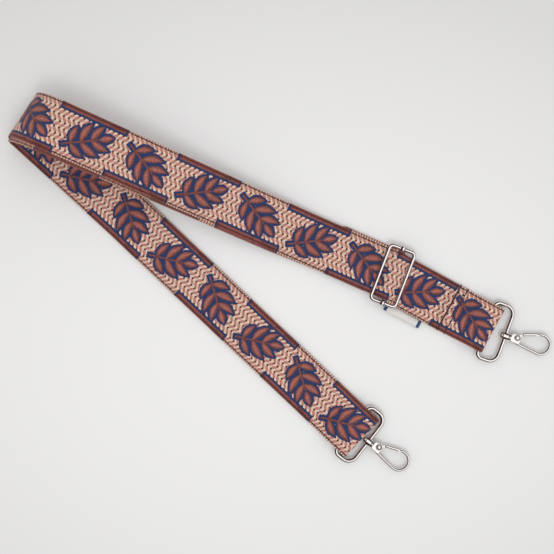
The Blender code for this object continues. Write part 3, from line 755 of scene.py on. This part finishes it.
# %% The sewn end at clasp A
joint_gap = 0.00003
narrow_run, narrow_share = 0.020, 1.8
sewn_stations = []
for mark in hairpin_marks(sewn_start + joint_gap, tail_length, "a", flap_length):
    point, side, normal, slant = strand_station(tail, mark, 1)
    share = clamp(narrow_share - (tail_length - mark[0]) / narrow_run)
    sewn_stations.append((point, side * (1 - share * edge_loops / half_width), normal, slant))
sewn_end, sewn_length = lay_webbing("webbing_sewn_end", sewn_stations, sewn_start, 1)

# %% [markdown]
# Now each run gets its finish. The runs that stay still ride the strap, and the runs beside the
# slider have their place baked into their mesh.

# %% Finish and bodies of the webbing
mapped = webbing_finish("webbing_by_length", millimetres_from_map)
by_upper, by_tail = (webbing_finish(
    "webbing_by_place_" + name, lambda tree: millimetres_from_place(
        tree, table @ strand.origin, strand.heading + table_turn))
    for name, strand in (("upper", upper), ("tail", tail)))
for piece in (folded_run, sewn_end):
    piece.data.materials.append(mapped)
    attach(piece, "strap")
left_reach = (-0.144, -0.014)
right_reach = (0.013, sewn_start - 0.0005)
end_reach = (-0.142, -0.034)
blends = ((left_run, by_upper, upper, ("strap", "slider"), left_reach),
          (right_run, by_tail, tail, ("slider", "strap"), right_reach),
          (end_run, by_upper, upper, ("strap", "slider"), end_reach))
for piece, finish, strand, bodies, reach in blends:
    piece.data.materials.append(finish)
    start, end = (table @ strand.point(along, 0, 0) for along in reach)
    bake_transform(piece)
cloths = (
    (folded_run, folded_length, "folded", "d_ring_b",
     ("strap_fold_outer", "strap_fold_inner", "strap_lower_bottom", "strap_lower_top",
      "strap_clasp_loop")),
    (sewn_end, sewn_length, "folded", "d_ring_a", ("strap_sewn_end",)),
    (left_run, left_length, "laid", "slider_frame", ("strap_through_run",)),
    (right_run, right_length, "laid", "slider_frame", ("strap_through_run",)),
    (end_run, end_length, "folded", "slider_bar", ("strap_under_run", "strap_slider_loop")))
for piece, length, held, carrier, nodes in cloths:
    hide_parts(*nodes)
print("webbing pieces:", len(cloths))

# %% [markdown]
# ## Stitches
# The two rows across the sewn end are thick brown thread, one row thicker than the other. Each
# stitch is a small round-ended capsule pressed into the webbing.

# %% A single stitch
capsule_swells = ((0.0, 0.5), (0.1, 0.85), (0.3, 1.0), (0.7, 1.0), (0.9, 0.85), (1.0, 0.5))


def ring_of(shape, middle, radius, aside, out, sides, spread=1.0):
    """A ring of vertices round a point; a spread above 1 makes it broad and oval."""
    return [shape.verts.new(middle + radius * (spread * cos(turn) * aside + sin(turn) * out))
            for turn in (2 * pi * count / sides for count in range(sides))]


def capsule(shape, start, end, radius, sides=8):
    """A stitch from start to end: rings that swell and close again."""
    out = Vector((0.0, 0.0, 1.0))
    aside = (end - start).normalized().cross(out)
    rings = []
    for share, swell in capsule_swells:
        middle = start.lerp(end, share) + out * radius * (swell - 1.0) * 0.9
        rings.append(ring_of(shape, middle, radius * swell, aside, out, sides))
    skin(shape, rings)
    cap(shape, rings)


print("rings in a stitch:", len(capsule_swells))

# %% A mesh made into a piece
def dress(name, mesh, material, body, nodes):
    """A mesh placed as a piece that rides a body."""
    mesh.materials.append(material)
    piece = place_object(name, mesh)
    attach(piece, body)
    if nodes:
        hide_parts(*nodes)
    return piece


def finish_mesh(name, shape, material, body, nodes=()):
    """Close a bmesh into a smooth piece."""
    bmesh.ops.recalc_face_normals(shape, faces=shape.faces)
    mesh = mesh_of(name, shape)
    mesh.shade_smooth()
    return dress(name, mesh, material, body, nodes)


print("a mesh can be made into a piece")

# %% Two rows of thread
thread, thread_tree, thread_shader = new_finish("thread", {"Roughness": 0.75, "Sheen Weight": 0.2})
twist = noise(thread_tree, 2500.0)
plug(thread_tree, thread_shader.inputs["Base Color"],
     shade(thread_tree, thread_brown[:3], twist * 0.6 + 0.6))
stitch_rows = ((0.0387, 0.00072), (0.0325, 0.00045))
stitch_overlap = 1.1
row_reach = half_width + 0.0003
count = round(2 * row_reach * 1000 / stitch_period)
step = 2 * row_reach / count
thread_height = end_level + half_thick
row_shape = bmesh.new()
for back_from_end, radius in stitch_rows:
    for index in range(count):
        start, end = (table @ tail.point(tail_length - back_from_end, across, thread_height)
                      for across in (-row_reach + index * step,
                                     -row_reach + (index + stitch_overlap) * step))
        capsule(row_shape, start, end, radius)
finish_mesh("sewn_end_stitches", row_shape, thread, "strap")
print("stitches in a row:", count)

# %% [markdown]
# ## The label
# A small white ribbon is caught in the strap's lower edge beside the slider. It is folded over,
# so its outer edge is round, and its two ends are navy. It stays bare.

# %% The bare label
label_start = 0.0063
label_length = 0.031
label_reach = 0.0062
label_droop = 0.0008
label_half = 0.00035
label_gap = 0.0002
label_steps = 16
label_wave = (0.00025, 9.0)
navy_end = 2.5
label_section = [(0.0, 1.0), (-0.6, 1.0), (-0.9, 0.86), (-1.0, 0.0), (-0.9, -0.86),
                 (-0.6, -1.0), (0.0, -1.0), (0.0, -0.25), (-0.6, -0.25), (-0.88, -0.2),
                 (-0.93, 0.0), (-0.88, 0.2), (-0.6, 0.25), (0.0, 0.25)]


def height_at(marks, along):
    """The height of a walk over a place, between its two nearest marks."""
    for before, after in zip(marks, marks[1:]):
        if after[0] >= along:
            share = max(0.0, (along - before[0]) / (after[0] - before[0]))
            return before[1] + share * (after[1] - before[1])
    return marks[-1][1]


label_shape = bmesh.new()
label_layer = label_shape.loops.layers.uv.new("weave")
label_places = {}
label_rings = []
for index in range(label_steps + 1):
    along = label_start + label_length * index / label_steps
    middle = height_at(tail_walk.marks, along) - label_droop
    wave = label_wave[0] * sin(label_wave[1] * index / label_steps)
    ring = []
    for share, lift in label_section:
        across = -half_width - label_gap + share * (label_reach - label_gap)
        height = middle + lift * label_half + wave * abs(share)
        vertex = label_shape.verts.new(table @ tail.point(along, across, height))
        label_places[vertex] = (along - label_start, share * label_reach)
        ring.append(vertex)
    label_rings.append(ring)
skin(label_shape, label_rings)
cap(label_shape, label_rings)
write_map(label_shape, label_layer, label_places)
print("label's corners:", len(label_places))

# %% The label's finish
ribbon, ribbon_tree, ribbon_shader = new_finish("label_ribbon", {"Roughness": 0.6,
                                                                "Sheen Weight": 0.2})
ribbon_along, ribbon_across = millimetres_from_map(ribbon_tree)
half_label = label_length * 500.0
ribbon_ends = abs(ribbon_along - half_label).above(half_label - navy_end)
ribs = (ribbon_across * 14.0).sine() * 0.5 + 0.5
# painted shade: the white darkens a little towards the ribbon's round outer edge; the ribs add a
# faint stripe
pale = mix(ribbon_tree, ribs * 0.15 - ribbon_across * 0.05, linear(214, 211, 207),
           linear(194, 190, 186))
plug(ribbon_tree, ribbon_shader.inputs["Base Color"], mix(ribbon_tree, ribbon_ends, pale, navy))
bump(ribbon_tree, ribbon_shader, ribs, 0.4, 0.0001)
label = finish_mesh("side_ribbon_label", label_shape, ribbon, "strap", ("side_label",))
print("navy at each end of the label in mm:", navy_end)

# %% [markdown]
# ## Nickel
# The metal is bright nickel over a zinc casting. Mirror metal shows only what is around it, so
# the finish needs little colour: fine rub marks in the roughness, and a faint unevenness in the
# surface that bends the highlights as a casting does.

# %% The nickel finish
def nickel_finish(name, rough, wave):
    material, tree, shader = new_finish(name, {"Metallic": 1.0})
    cloud, rubs = noise(tree, 160.0, 3.0), noise(tree, 1400.0)
    plug(tree, shader.inputs["Base Color"],
         mix(tree, cloud, linear(222, 219, 214), linear(236, 234, 230)))
    plug(tree, shader.inputs["Roughness"], rough + (cloud - 0.5) * 0.08 + (rubs - 0.5) * 0.06)
    bump(tree, shader, cloud, wave, 0.0002)
    return material


nickel = nickel_finish("bright_nickel", 0.055, 0.2)
spring_steel = nickel_finish("spring_steel", 0.3, 0.1)
print("nickel is ready")

# %% [markdown]
# ## Wires and turned pieces
# A wire is a circle swept along a path; a pin is a profile turned round its axis. Both are made
# ring by ring, with enough sides to stay round in a close view.

# %% Outlines with rounded corners
def rounded_path(corners, radii, step=radians(6.0)):
    """A closed outline with each corner replaced by an arc of its own radius."""
    points = []
    for index, corner in enumerate(corners):
        corner = Vector(corner)
        before = (Vector(corners[index - 1]) - corner).normalized()
        after = (Vector(corners[(index + 1) % len(corners)]) - corner).normalized()
        opening = before.angle(after)
        radius = radii[index]
        centre = corner + (before + after).normalized() * radius / sin(opening / 2)
        first = corner + before * radius / tan(opening / 2) - centre
        sweep = (pi - opening) * (1 if before.x * after.y - before.y * after.x < 0 else -1)
        steps = max(2, round(abs(sweep) / step))
        for stop in range(steps + 1):
            points.append(centre + Matrix.Rotation(sweep * stop / steps, 2) @ first)
    return [point.to_3d() for point in points]


print("outlines can be rounded")

# %% Swept wires
def sweep_wire(shape, points, radius, closed, sides=24, spread=1.0):
    """A wire along a path that lies nearly flat; a spread above 1 makes it broad and oval."""
    rings = []
    last = len(points) - 1
    for index, point in enumerate(points):
        after = points[(index + 1) % len(points)] if closed or index < last else point
        before = points[index - 1] if closed or index > 0 else point
        ahead = (after - before).normalized()
        aside = ahead.cross(Vector((0, 0, 1))).normalized()
        rings.append(ring_of(shape, point, radius, aside, aside.cross(ahead), sides, spread))
    skin(shape, rings, closed)
    if not closed:
        cap(shape, rings)


def mesh_from(build, *sizes):
    """Fill a bmesh with a building function and return it as a mesh."""
    shape = bmesh.new()
    build(shape, *sizes)
    bmesh.ops.recalc_face_normals(shape, faces=shape.faces)
    return mesh_of("form", shape)


print("wires can be swept")

# %% Turned forms and plates
def turn_profile(shape, profile, matrix, sides=32):
    """A solid of revolution about z from (radius, height) pairs, top to bottom."""
    rings = []
    for radius, height in profile:
        turns = [2 * pi * count / sides for count in range(sides if radius else 1)]
        ring = [shape.verts.new(matrix @ Vector((radius * cos(turn), radius * sin(turn), height)))
                for turn in turns]
        rings.append(ring * (sides // len(ring)))
    skin(shape, rings)


def turned_piece(name, profile, place, material, body, nodes, sides=32):
    shape = bmesh.new()
    turn_profile(shape, profile, place, sides)
    finish_mesh(name, shape, material, body, nodes)


def round_bar(size, place, sides=32):
    """A plain bar along z from its diameter and length, set in its place."""
    reach, half = size[0] / 2, size[1] / 2
    profile = [(0.0, half), (reach, half), (reach, -half), (0.0, -half)]
    return mesh_from(turn_profile, profile, place, sides)


def fill_plate(shape, outline, low, high):
    rings = [[shape.verts.new((point[0], point[1], height)) for point in outline]
             for height in (low, high)]
    cap(shape, rings)
    skin(shape, rings)


def plate(outline, low, high):
    """A flat plate between two heights, from an outline in plan."""
    return mesh_from(fill_plate, outline, low, high)


along_x = Matrix.Rotation(pi / 2, 4, "Y")
along_y = Matrix.Rotation(-pi / 2, 4, "X")
print("turned forms and plates are ready")

# %% [markdown]
# ## Cast pieces
# Rings, hooks and gates are castings: simple forms joined and cut with Booleans. For hooks and
# gates a fine voxel remesh then melts them into one skin with soft inside corners, and a light
# smoothing rounds every edge, which chamfering by hand would take far longer to do.

# %% Join, cut and melt
crease = radians(35.0)


def casting(name, base, joined, cuts, place, body, nodes, melted=None):
    """Base plus joined forms minus cuts; melted holds a voxel size and rounds of smoothing."""
    thing = place_object(name, base)
    tools = []
    for operation, meshes in (("UNION", joined), ("DIFFERENCE", cuts)):
        for mesh in meshes:
            tools.append(place_object(name + "_tool", mesh))
            step = thing.modifiers.new(operation.lower(), "BOOLEAN")
            step.operation = operation
            step.solver = "EXACT"
            step.object = tools[-1]
    if melted:
        melt = thing.modifiers.new("melt", "REMESH")
        melt.mode = "VOXEL"
        melt.voxel_size = melted[0]
        melt.use_smooth_shade = True
        soft = thing.modifiers.new("soft", "SMOOTH")
        soft.factor = 0.5
        soft.iterations = melted[1]
    graph = bpy.context.evaluated_depsgraph_get()
    mesh = bpy.data.meshes.new_from_object(thing.evaluated_get(graph))
    mesh.name = name
    for tool in tools + [thing]:
        bpy.data.objects.remove(tool, do_unlink=True)
    mesh.transform(place)
    mesh.shade_smooth()
    if not melted:
        mesh.set_sharp_from_angle(angle=crease)
    mesh.materials.clear()
    dress(name, mesh, nickel, body, nodes)
    print(name, "faces:", len(mesh.polygons))


print("castings can be made")

# %% [markdown]
# ## The slider
# A wire frame with a small eye in each short side, and a riveted pin through the eyes as its
# middle bar.

# %% The slider's frame
slider_room, slider_corner, slider_spread = 0.0021, 0.0029, 1.25
slider_eye, bore_clearance = 0.0042, 0.0003
slider_reach = webbing_width / 2 + slider_room + slider_wire / 2
slider_matrix = table @ Matrix.Translation(upper.point(0, 0, slider_height)) \
    @ Matrix.Rotation(lay_angle + slider_yaw, 4, "Z")
slider_path = rounded_path([(along * slider_bar_spacing, across * slider_reach)
                            for along, across in ((1, 1), (-1, 1), (-1, -1), (1, -1))],
                           [slider_corner] * 4)
frame_mesh = mesh_from(sweep_wire, slider_path, slider_wire / 2, True, 32, slider_spread)
eyes = [round_bar((slider_eye, slider_wire),
                  Matrix.Translation((0, side * slider_reach, 0)) @ along_y) for side in (-1, 1)]
bore = round_bar((slider_bar_diameter + bore_clearance, 3 * slider_reach), along_y)
casting("slider_frame_wire", frame_mesh, eyes, [bore], slider_matrix, "slider",
        ("slider_frame",))

# %% The slider's middle bar
def headed_pin(diameter, length, head_diameter, head_height):
    """A pin's profile with a domed head at each end."""
    half, rim = length / 2, head_diameter / 2
    top = [(0.0, half + head_height)]
    for turn in (step * pi / 10 for step in range(1, 6)):
        top.append((rim * sin(turn), half + head_height * (0.3 + 0.7 * cos(turn))))
    top += [(rim, half + head_height * 0.12), (rim * 0.97, half), (diameter / 2, half)]
    return top + [(radius, -height) for radius, height in reversed(top)]


pin_seat = slider_reach + slider_wire / 2 + 0.00015
pin_head = (0.0036, 0.0009)
turned_piece("slider_middle_bar", headed_pin(slider_bar_diameter, 2 * pin_seat, *pin_head),
             slider_matrix @ along_y, nickel, "slider", ("slider_bar",))
print("length of the bar under its heads in mm:", round(2000 * pin_seat, 1))

# %% [markdown]
# ## The clasps
# Both clasps are alike: a wide ring with an eye in its outer bar, a post that swivels in the eye,
# a hook with a block for the gate, and the gate on its rivet. One function builds a clasp, and
# the frame's joints say where its ring, swivel and rivet stand.

# %% Sizes of a ring and its post
ring_room, ring_depth = 0.0020, 0.0158
ring_reach = webbing_width / 2 + ring_room + ring_wire / 2
ring_corners = [(ring_depth, ring_reach), (0.0, ring_reach), (0.0, -ring_reach),
                (ring_depth, -ring_reach)]
ring_radii = [0.0072, 0.0040, 0.0040, 0.0072]
ring_eye, ring_hole = (0.0064, 0.0042), (0.0030, 0.0080)
post_seat, post_top, post_radius = 0.0024, 0.0039, 0.0012
post_head = ((0.0023, 0.0), (0.0026, 0.0003), (0.0026, 0.0012), (0.0023, 0.0016),
             (0.0015, 0.0019), (0.0, 0.0020))
print("ring in mm:", round(2000 * ring_reach, 1), "by", round(1000 * ring_depth, 1))

# %% [markdown]
# A pair of numbers for a round form is its diameter and its length. A place with the ending _at is
# measured from the swivel, along the hook.

# %% Sizes of a hook and its gate
hook_wire = 0.0025
block = {"start": 0.0039, "end": 0.0115, "back_low": -0.0024, "back_high": 0.0036,
         "front_low": -0.0029, "front_high": 0.0053, "thick": 0.0058}
block_radii = [0.0011, 0.0011, 0.0012, 0.0012]
collar, collar_at = (0.0056, 0.0028), 0.0040
swivel_seat, seat_at = (0.0027, 0.0036), 0.0024
slot = {"width": 0.0038, "wall": 0.0014, "floor": -0.0011, "end": 0.0135, "top": 0.0090}
rivet = Vector((0.0086, 0.0018))
rivet_shank, rivet_head, rivet_well = 0.0015, (0.0032, 0.0006), (0.0044, 0.0010)
hook_drill, gate_drill = (0.0018, 0.0090), (0.0018, 0.0080)
eye_centre, eye_radius = Vector((0.0277, 0.0032)), 0.00755
spine_slope, nose_angle, nose_length = radians(-6.3), radians(110.0), 0.0016
spine_steps = 12
gate_radius, gate_spread = 0.00098, 1.25
arm_half, arm_taper, root_thickness, hub_diameter = 0.00118, 0.7, 0.0012, 0.0038
lip_length, lip_half, notch_back = 0.0011, 0.0009, 0.002
spring = {"radius": 0.0012, "wire": 0.00015, "pitch": 0.00072, "leg": 0.0022,
          "steps": 24, "last": 42, "gap": 0.00015}
hook_melt, gate_melt = (0.00021, 3), (0.00014, 2)


print("opening of the hook in mm:", round(2000 * eye_radius, 1))

# %% The hook's centre line and its mouth
def hook_centreline(fine=radians(6.0)):
    """From inside the block along the spine, round the eye and on to the nose."""
    start_angle = spine_slope - pi / 2
    first = eye_centre + eye_radius * Vector((cos(start_angle), sin(start_angle)))
    back = (first.x - (block["start"] + block["end"]) / 2) / cos(spine_slope)
    ahead = Vector((cos(spine_slope), sin(spine_slope)))
    points = [first - back * ahead * (1 - step / spine_steps) for step in range(spine_steps)]
    steps = round((nose_angle - start_angle) / fine)
    for stop in range(steps + 1):
        angle = start_angle + (nose_angle - start_angle) * stop / steps
        points.append(eye_centre + eye_radius * Vector((cos(angle), sin(angle))))
    nose = Vector((-sin(nose_angle), cos(nose_angle)))
    points.append(points[-1] + nose_length * nose)
    return [point.to_3d() for point in points]


def in_mouth(along, out_by):
    """A point by the nose: along the gate towards the nose, and out of the hook."""
    nose = hook_centreline()[-1].to_2d()
    ahead = Vector((sin(nose_angle), -cos(nose_angle)))
    out = Vector((-ahead.y, ahead.x))
    return nose + along * ahead + out_by * out


print("hook reaches", round((eye_centre.x + eye_radius) * 1000, 1), "mm from the ring")

# %% Frames of a clasp, its ring and its post
def clasp_frame(letter):
    """Ring frame and swivel frame of one clasp, x outward and z up."""
    places = [Vector(joints[kind + letter + motion]["pos_m"])
              for kind, motion in (("ring_", "_swing"), ("hook_", "_swivel"))]
    outward = Vector(joints["hook_" + letter + "_swivel"]["axis"])
    turn = Matrix.Rotation(atan2(outward.y, outward.x), 4, "Z")
    return [Matrix.Translation(place) @ turn for place in places]


def build_ring(letter, ring_frame):
    base = mesh_from(sweep_wire, rounded_path(ring_corners, ring_radii), ring_wire / 2, True, 32)
    at_eye = Matrix.Translation((ring_depth, 0, 0)) @ along_x
    casting("clasp_ring_" + letter, base, [round_bar(ring_eye, at_eye, 40)],
            [round_bar(ring_hole, at_eye, 40)], ring_frame, "ring_" + letter,
            ("d_ring_" + letter,))


def build_post(letter, swivel_frame):
    profile = [(0.0, post_top), (post_radius, post_top), (post_radius, -post_seat)]
    profile += [(radius, -post_seat - below) for radius, below in post_head]
    turned_piece("swivel_stud_" + letter, profile, swivel_frame @ along_x, nickel,
                 "hook_" + letter, ("swivel_post_" + letter,))


print("ring and post builders are ready")

# %% [markdown]
# The hook's block is slotted for the gate and drilled for the rivet. Its spine is the same round
# wire as its eye, and the nose has a step that the gate's lip rests behind.

# %% The hook
def on_axis(size, along):
    return round_bar(size, Matrix.Translation((along, 0, 0)) @ along_x)


def at_rivet(diameter, length, height=0.0):
    return round_bar((diameter, length), Matrix.Translation((*rivet, height)))


def mouth_plate(start, end, low, high, half):
    """A plate by the nose, between two places along the gate and two across it."""
    return plate([in_mouth(start, low), in_mouth(end, low), in_mouth(end, high),
                  in_mouth(start, high)], -half, half)


def build_hook(letter, swivel_frame):
    corners = [(block["start"], block["back_low"]), (block["end"], block["front_low"]),
               (block["end"], block["front_high"]), (block["start"], block["back_high"])]
    half = block["thick"] / 2
    base = plate(rounded_path(corners, block_radii), -half, half)
    spine = mesh_from(sweep_wire, hook_centreline(), hook_wire / 2, False, 28)
    slot_start = block["start"] + slot["wall"]
    opening = plate([(slot_start, slot["floor"]), (slot["end"], slot["floor"]),
                     (slot["end"], slot["top"]), (slot_start, slot["top"])],
                    -slot["width"] / 2, slot["width"] / 2)
    notch = mouth_plate(-notch_back, lip_length + seat_gap, -hook_wire, 0.0, hook_wire)
    cuts = [opening, at_rivet(*hook_drill), on_axis(swivel_seat, seat_at), notch,
            at_rivet(*rivet_well, half)]
    casting("snap_hook_" + letter, base, [spine, on_axis(collar, collar_at)], cuts,
            swivel_frame, "hook_" + letter, ("hook_body_" + letter,), hook_melt)


print("hook builder is ready")

# %% [markdown]
# The gate is a flattened bar with a lip at its nose. Its root goes down into the block's slot, to
# one side of it, because the spring needs the other side.

# %% The gate
def build_gate(letter, swivel_frame):
    nose = in_mouth(0.0, 0.0)
    root = (block["end"] + seat_gap - nose.x) / sin(nose_angle)
    reach = in_mouth(root + 3 * gate_radius, 0.0) - rivet
    across = Vector((-reach.y, reach.x)).normalized() * arm_half
    arm = [rivet - across, rivet + reach - across * arm_taper,
           rivet + reach + across * arm_taper, rivet + across]
    low = -slot["width"] / 2 + seat_gap
    forms = [mouth_plate(-seat_gap - lip_length, lip_length, -hook_wire / 2, -seat_gap, lip_half),
             plate(arm, low, low + root_thickness),
             at_rivet(hub_diameter, root_thickness, low + root_thickness / 2)]
    ends = [in_mouth(along, 0.0).to_3d() for along in (root + gate_radius, -seat_gap)]
    base = mesh_from(sweep_wire, ends, gate_radius, False, 24, gate_spread)
    casting("spring_gate_" + letter, base, forms, [at_rivet(*gate_drill)], swivel_frame,
            "gate_" + letter, ("hook_gate_" + letter,), gate_melt)


print("gate builder is ready")

# %% [markdown]
# The spring that closes the gate is a coil of steel wire round the rivet. Its two legs run off
# straight, one towards the gate and one to the block.

# %% The rivet and its spring
def build_rivet_and_spring(letter, swivel_frame):
    place = swivel_frame @ Matrix.Translation(rivet.to_3d())
    turned_piece("gate_pin_" + letter,
                 headed_pin(rivet_shank, block["thick"] + 0.0003, *rivet_head), place,
                 spring_steel, "hook_" + letter, ("gate_rivet_" + letter,), 36)
    low = -slot["width"] / 2 + 2 * seat_gap + root_thickness + spring["gap"]
    points = []
    for index in range(spring["last"] + 1):
        angle = pi / 2 + 2 * pi * index / spring["steps"]
        points.append(Vector((spring["radius"] * cos(angle), spring["radius"] * sin(angle),
                              low + spring["pitch"] * index / spring["steps"])))
    points.insert(0, points[0] + Vector((spring["leg"], 0.0, 0.0)))
    points.append(points[-1] + spring["leg"] * Vector((-sin(angle), cos(angle), 0.0)))
    shape = bmesh.new()
    sweep_wire(shape, [place @ point for point in points], spring["wire"], False, 10)
    finish_mesh("return_spring_" + letter, shape, spring_steel, "hook_" + letter,
                ("gate_spring_" + letter,))


for letter in "ab":
    ring_frame, swivel_frame = clasp_frame(letter)
    build_ring(letter, ring_frame)
    for build in (build_post, build_hook, build_gate, build_rivet_and_spring):
        build(letter, swivel_frame)
print("both clasps are built")

# %% [markdown]
# ## Table and light
# The table is plain and pale, with a painted falloff of light that makes it a little darker far
# from its middle, and only a soft shadow falls on it. One large lamp stands high in front,
# slightly to the right, and an even sky does the rest.
# Mirror rays see something else: a studio with dark warm walls and a bright ceiling that reaches
# further down on the right. So each wire shows a light line beside a dark one, as nickel does,
# where an even sky would turn it to grey plastic.

# %% Floor
floor_half, floor_drop = 2.0, 0.00005
# how fast and how far the painted falloff of light darkens the table
painted_falloff_across, painted_falloff_limit = 2.2, 0.16
floor_shape = bmesh.new()
bmesh.ops.create_grid(floor_shape, x_segments=1, y_segments=1, size=floor_half)
floor = place_object("table_top", mesh_of("floor", floor_shape))
floor.location.z = -floor_drop
paper, paper_tree, paper_shader = new_finish("pale_table", {"Roughness": 0.7,
                                                            "Specular IOR Level": 0.2})
# painted light: the table's colour is brightest here and darker further off, a painted falloff of
# light
painted_light_centre = (camera.location.x - 0.006, camera.location.y - 0.025)
paper_place = object_place(paper_tree)
along, across = (component(paper_tree, paper_place, axis) - middle
                 for axis, middle in enumerate(painted_light_centre))
painted_falloff = along * along + across * across * painted_falloff_across
plug(paper_tree, paper_shader.inputs["Base Color"],
     mix(paper_tree, painted_falloff.least(painted_falloff_limit), linear(225, 225, 224), (0.0, 0.0, 0.0, 1.0)))
floor.data.materials.append(paper)
print("brightest spot of the table:", [round(value, 3) for value in painted_light_centre])

# %% Lamp
lamp_data = bpy.data.lights.new("soft_lamp", "AREA")
lamp_data.energy = 6.8
lamp_data.size = 0.6
lamp_data.color = (0.945, 0.98, 1.0)
lamp = place_object("soft_lamp", lamp_data)
lamp.location = (0.17, -0.80, 1.55)
lamp.visible_glossy = False
lamp.rotation_euler = (-lamp.location).to_track_quat("-Z", "Y").to_euler()
print("lamp's distance in m:", round(lamp.location.length, 2))

# %% Sky
low_sky, high_sky = (0.86, 0.80, 0.75, 1.0), (1.01, 1.01, 1.03, 1.0)
dark_wall, warm_wall = (0.022, 0.006, 0.010, 1.0), (0.110, 0.030, 0.028, 1.0)
bright_ceiling, seen_by_camera = (1.30, 1.30, 1.31, 1.0), (0.78, 0.78, 0.78, 1.0)
world = bpy.data.worlds.new("studio_sky")
world.use_nodes = True
bpy.context.scene.world = world
sky = world.node_tree
ray = add_node(sky, "ShaderNodeTexCoord", {}, {}, "Generated")
side, depth, rise = (component(sky, ray, axis) for axis in (0, 1, 2))
toward_lamp = rise + side * 0.50 - depth * 0.16
walls = mix(sky, toward_lamp.ramp(0.91, 0.97),
            mix(sky, toward_lamp.ramp(0.2, 0.90), dark_wall, warm_wall), bright_ceiling)
tint = mix(sky, rise.ramp(0.1, 0.9), low_sky, high_sky)
for seen_as, colour in (("Is Glossy Ray", walls), ("Is Camera Ray", seen_by_camera)):
    tint = mix(sky, add_node(sky, "ShaderNodeLightPath", {}, {}, seen_as), tint, colour)
plug(sky, sky.nodes["Background"].inputs["Color"], tint)
bpy.context.scene.view_settings.view_transform = "Standard"
bpy.context.scene.view_settings.view_transform = "Standard"
print("light is set")
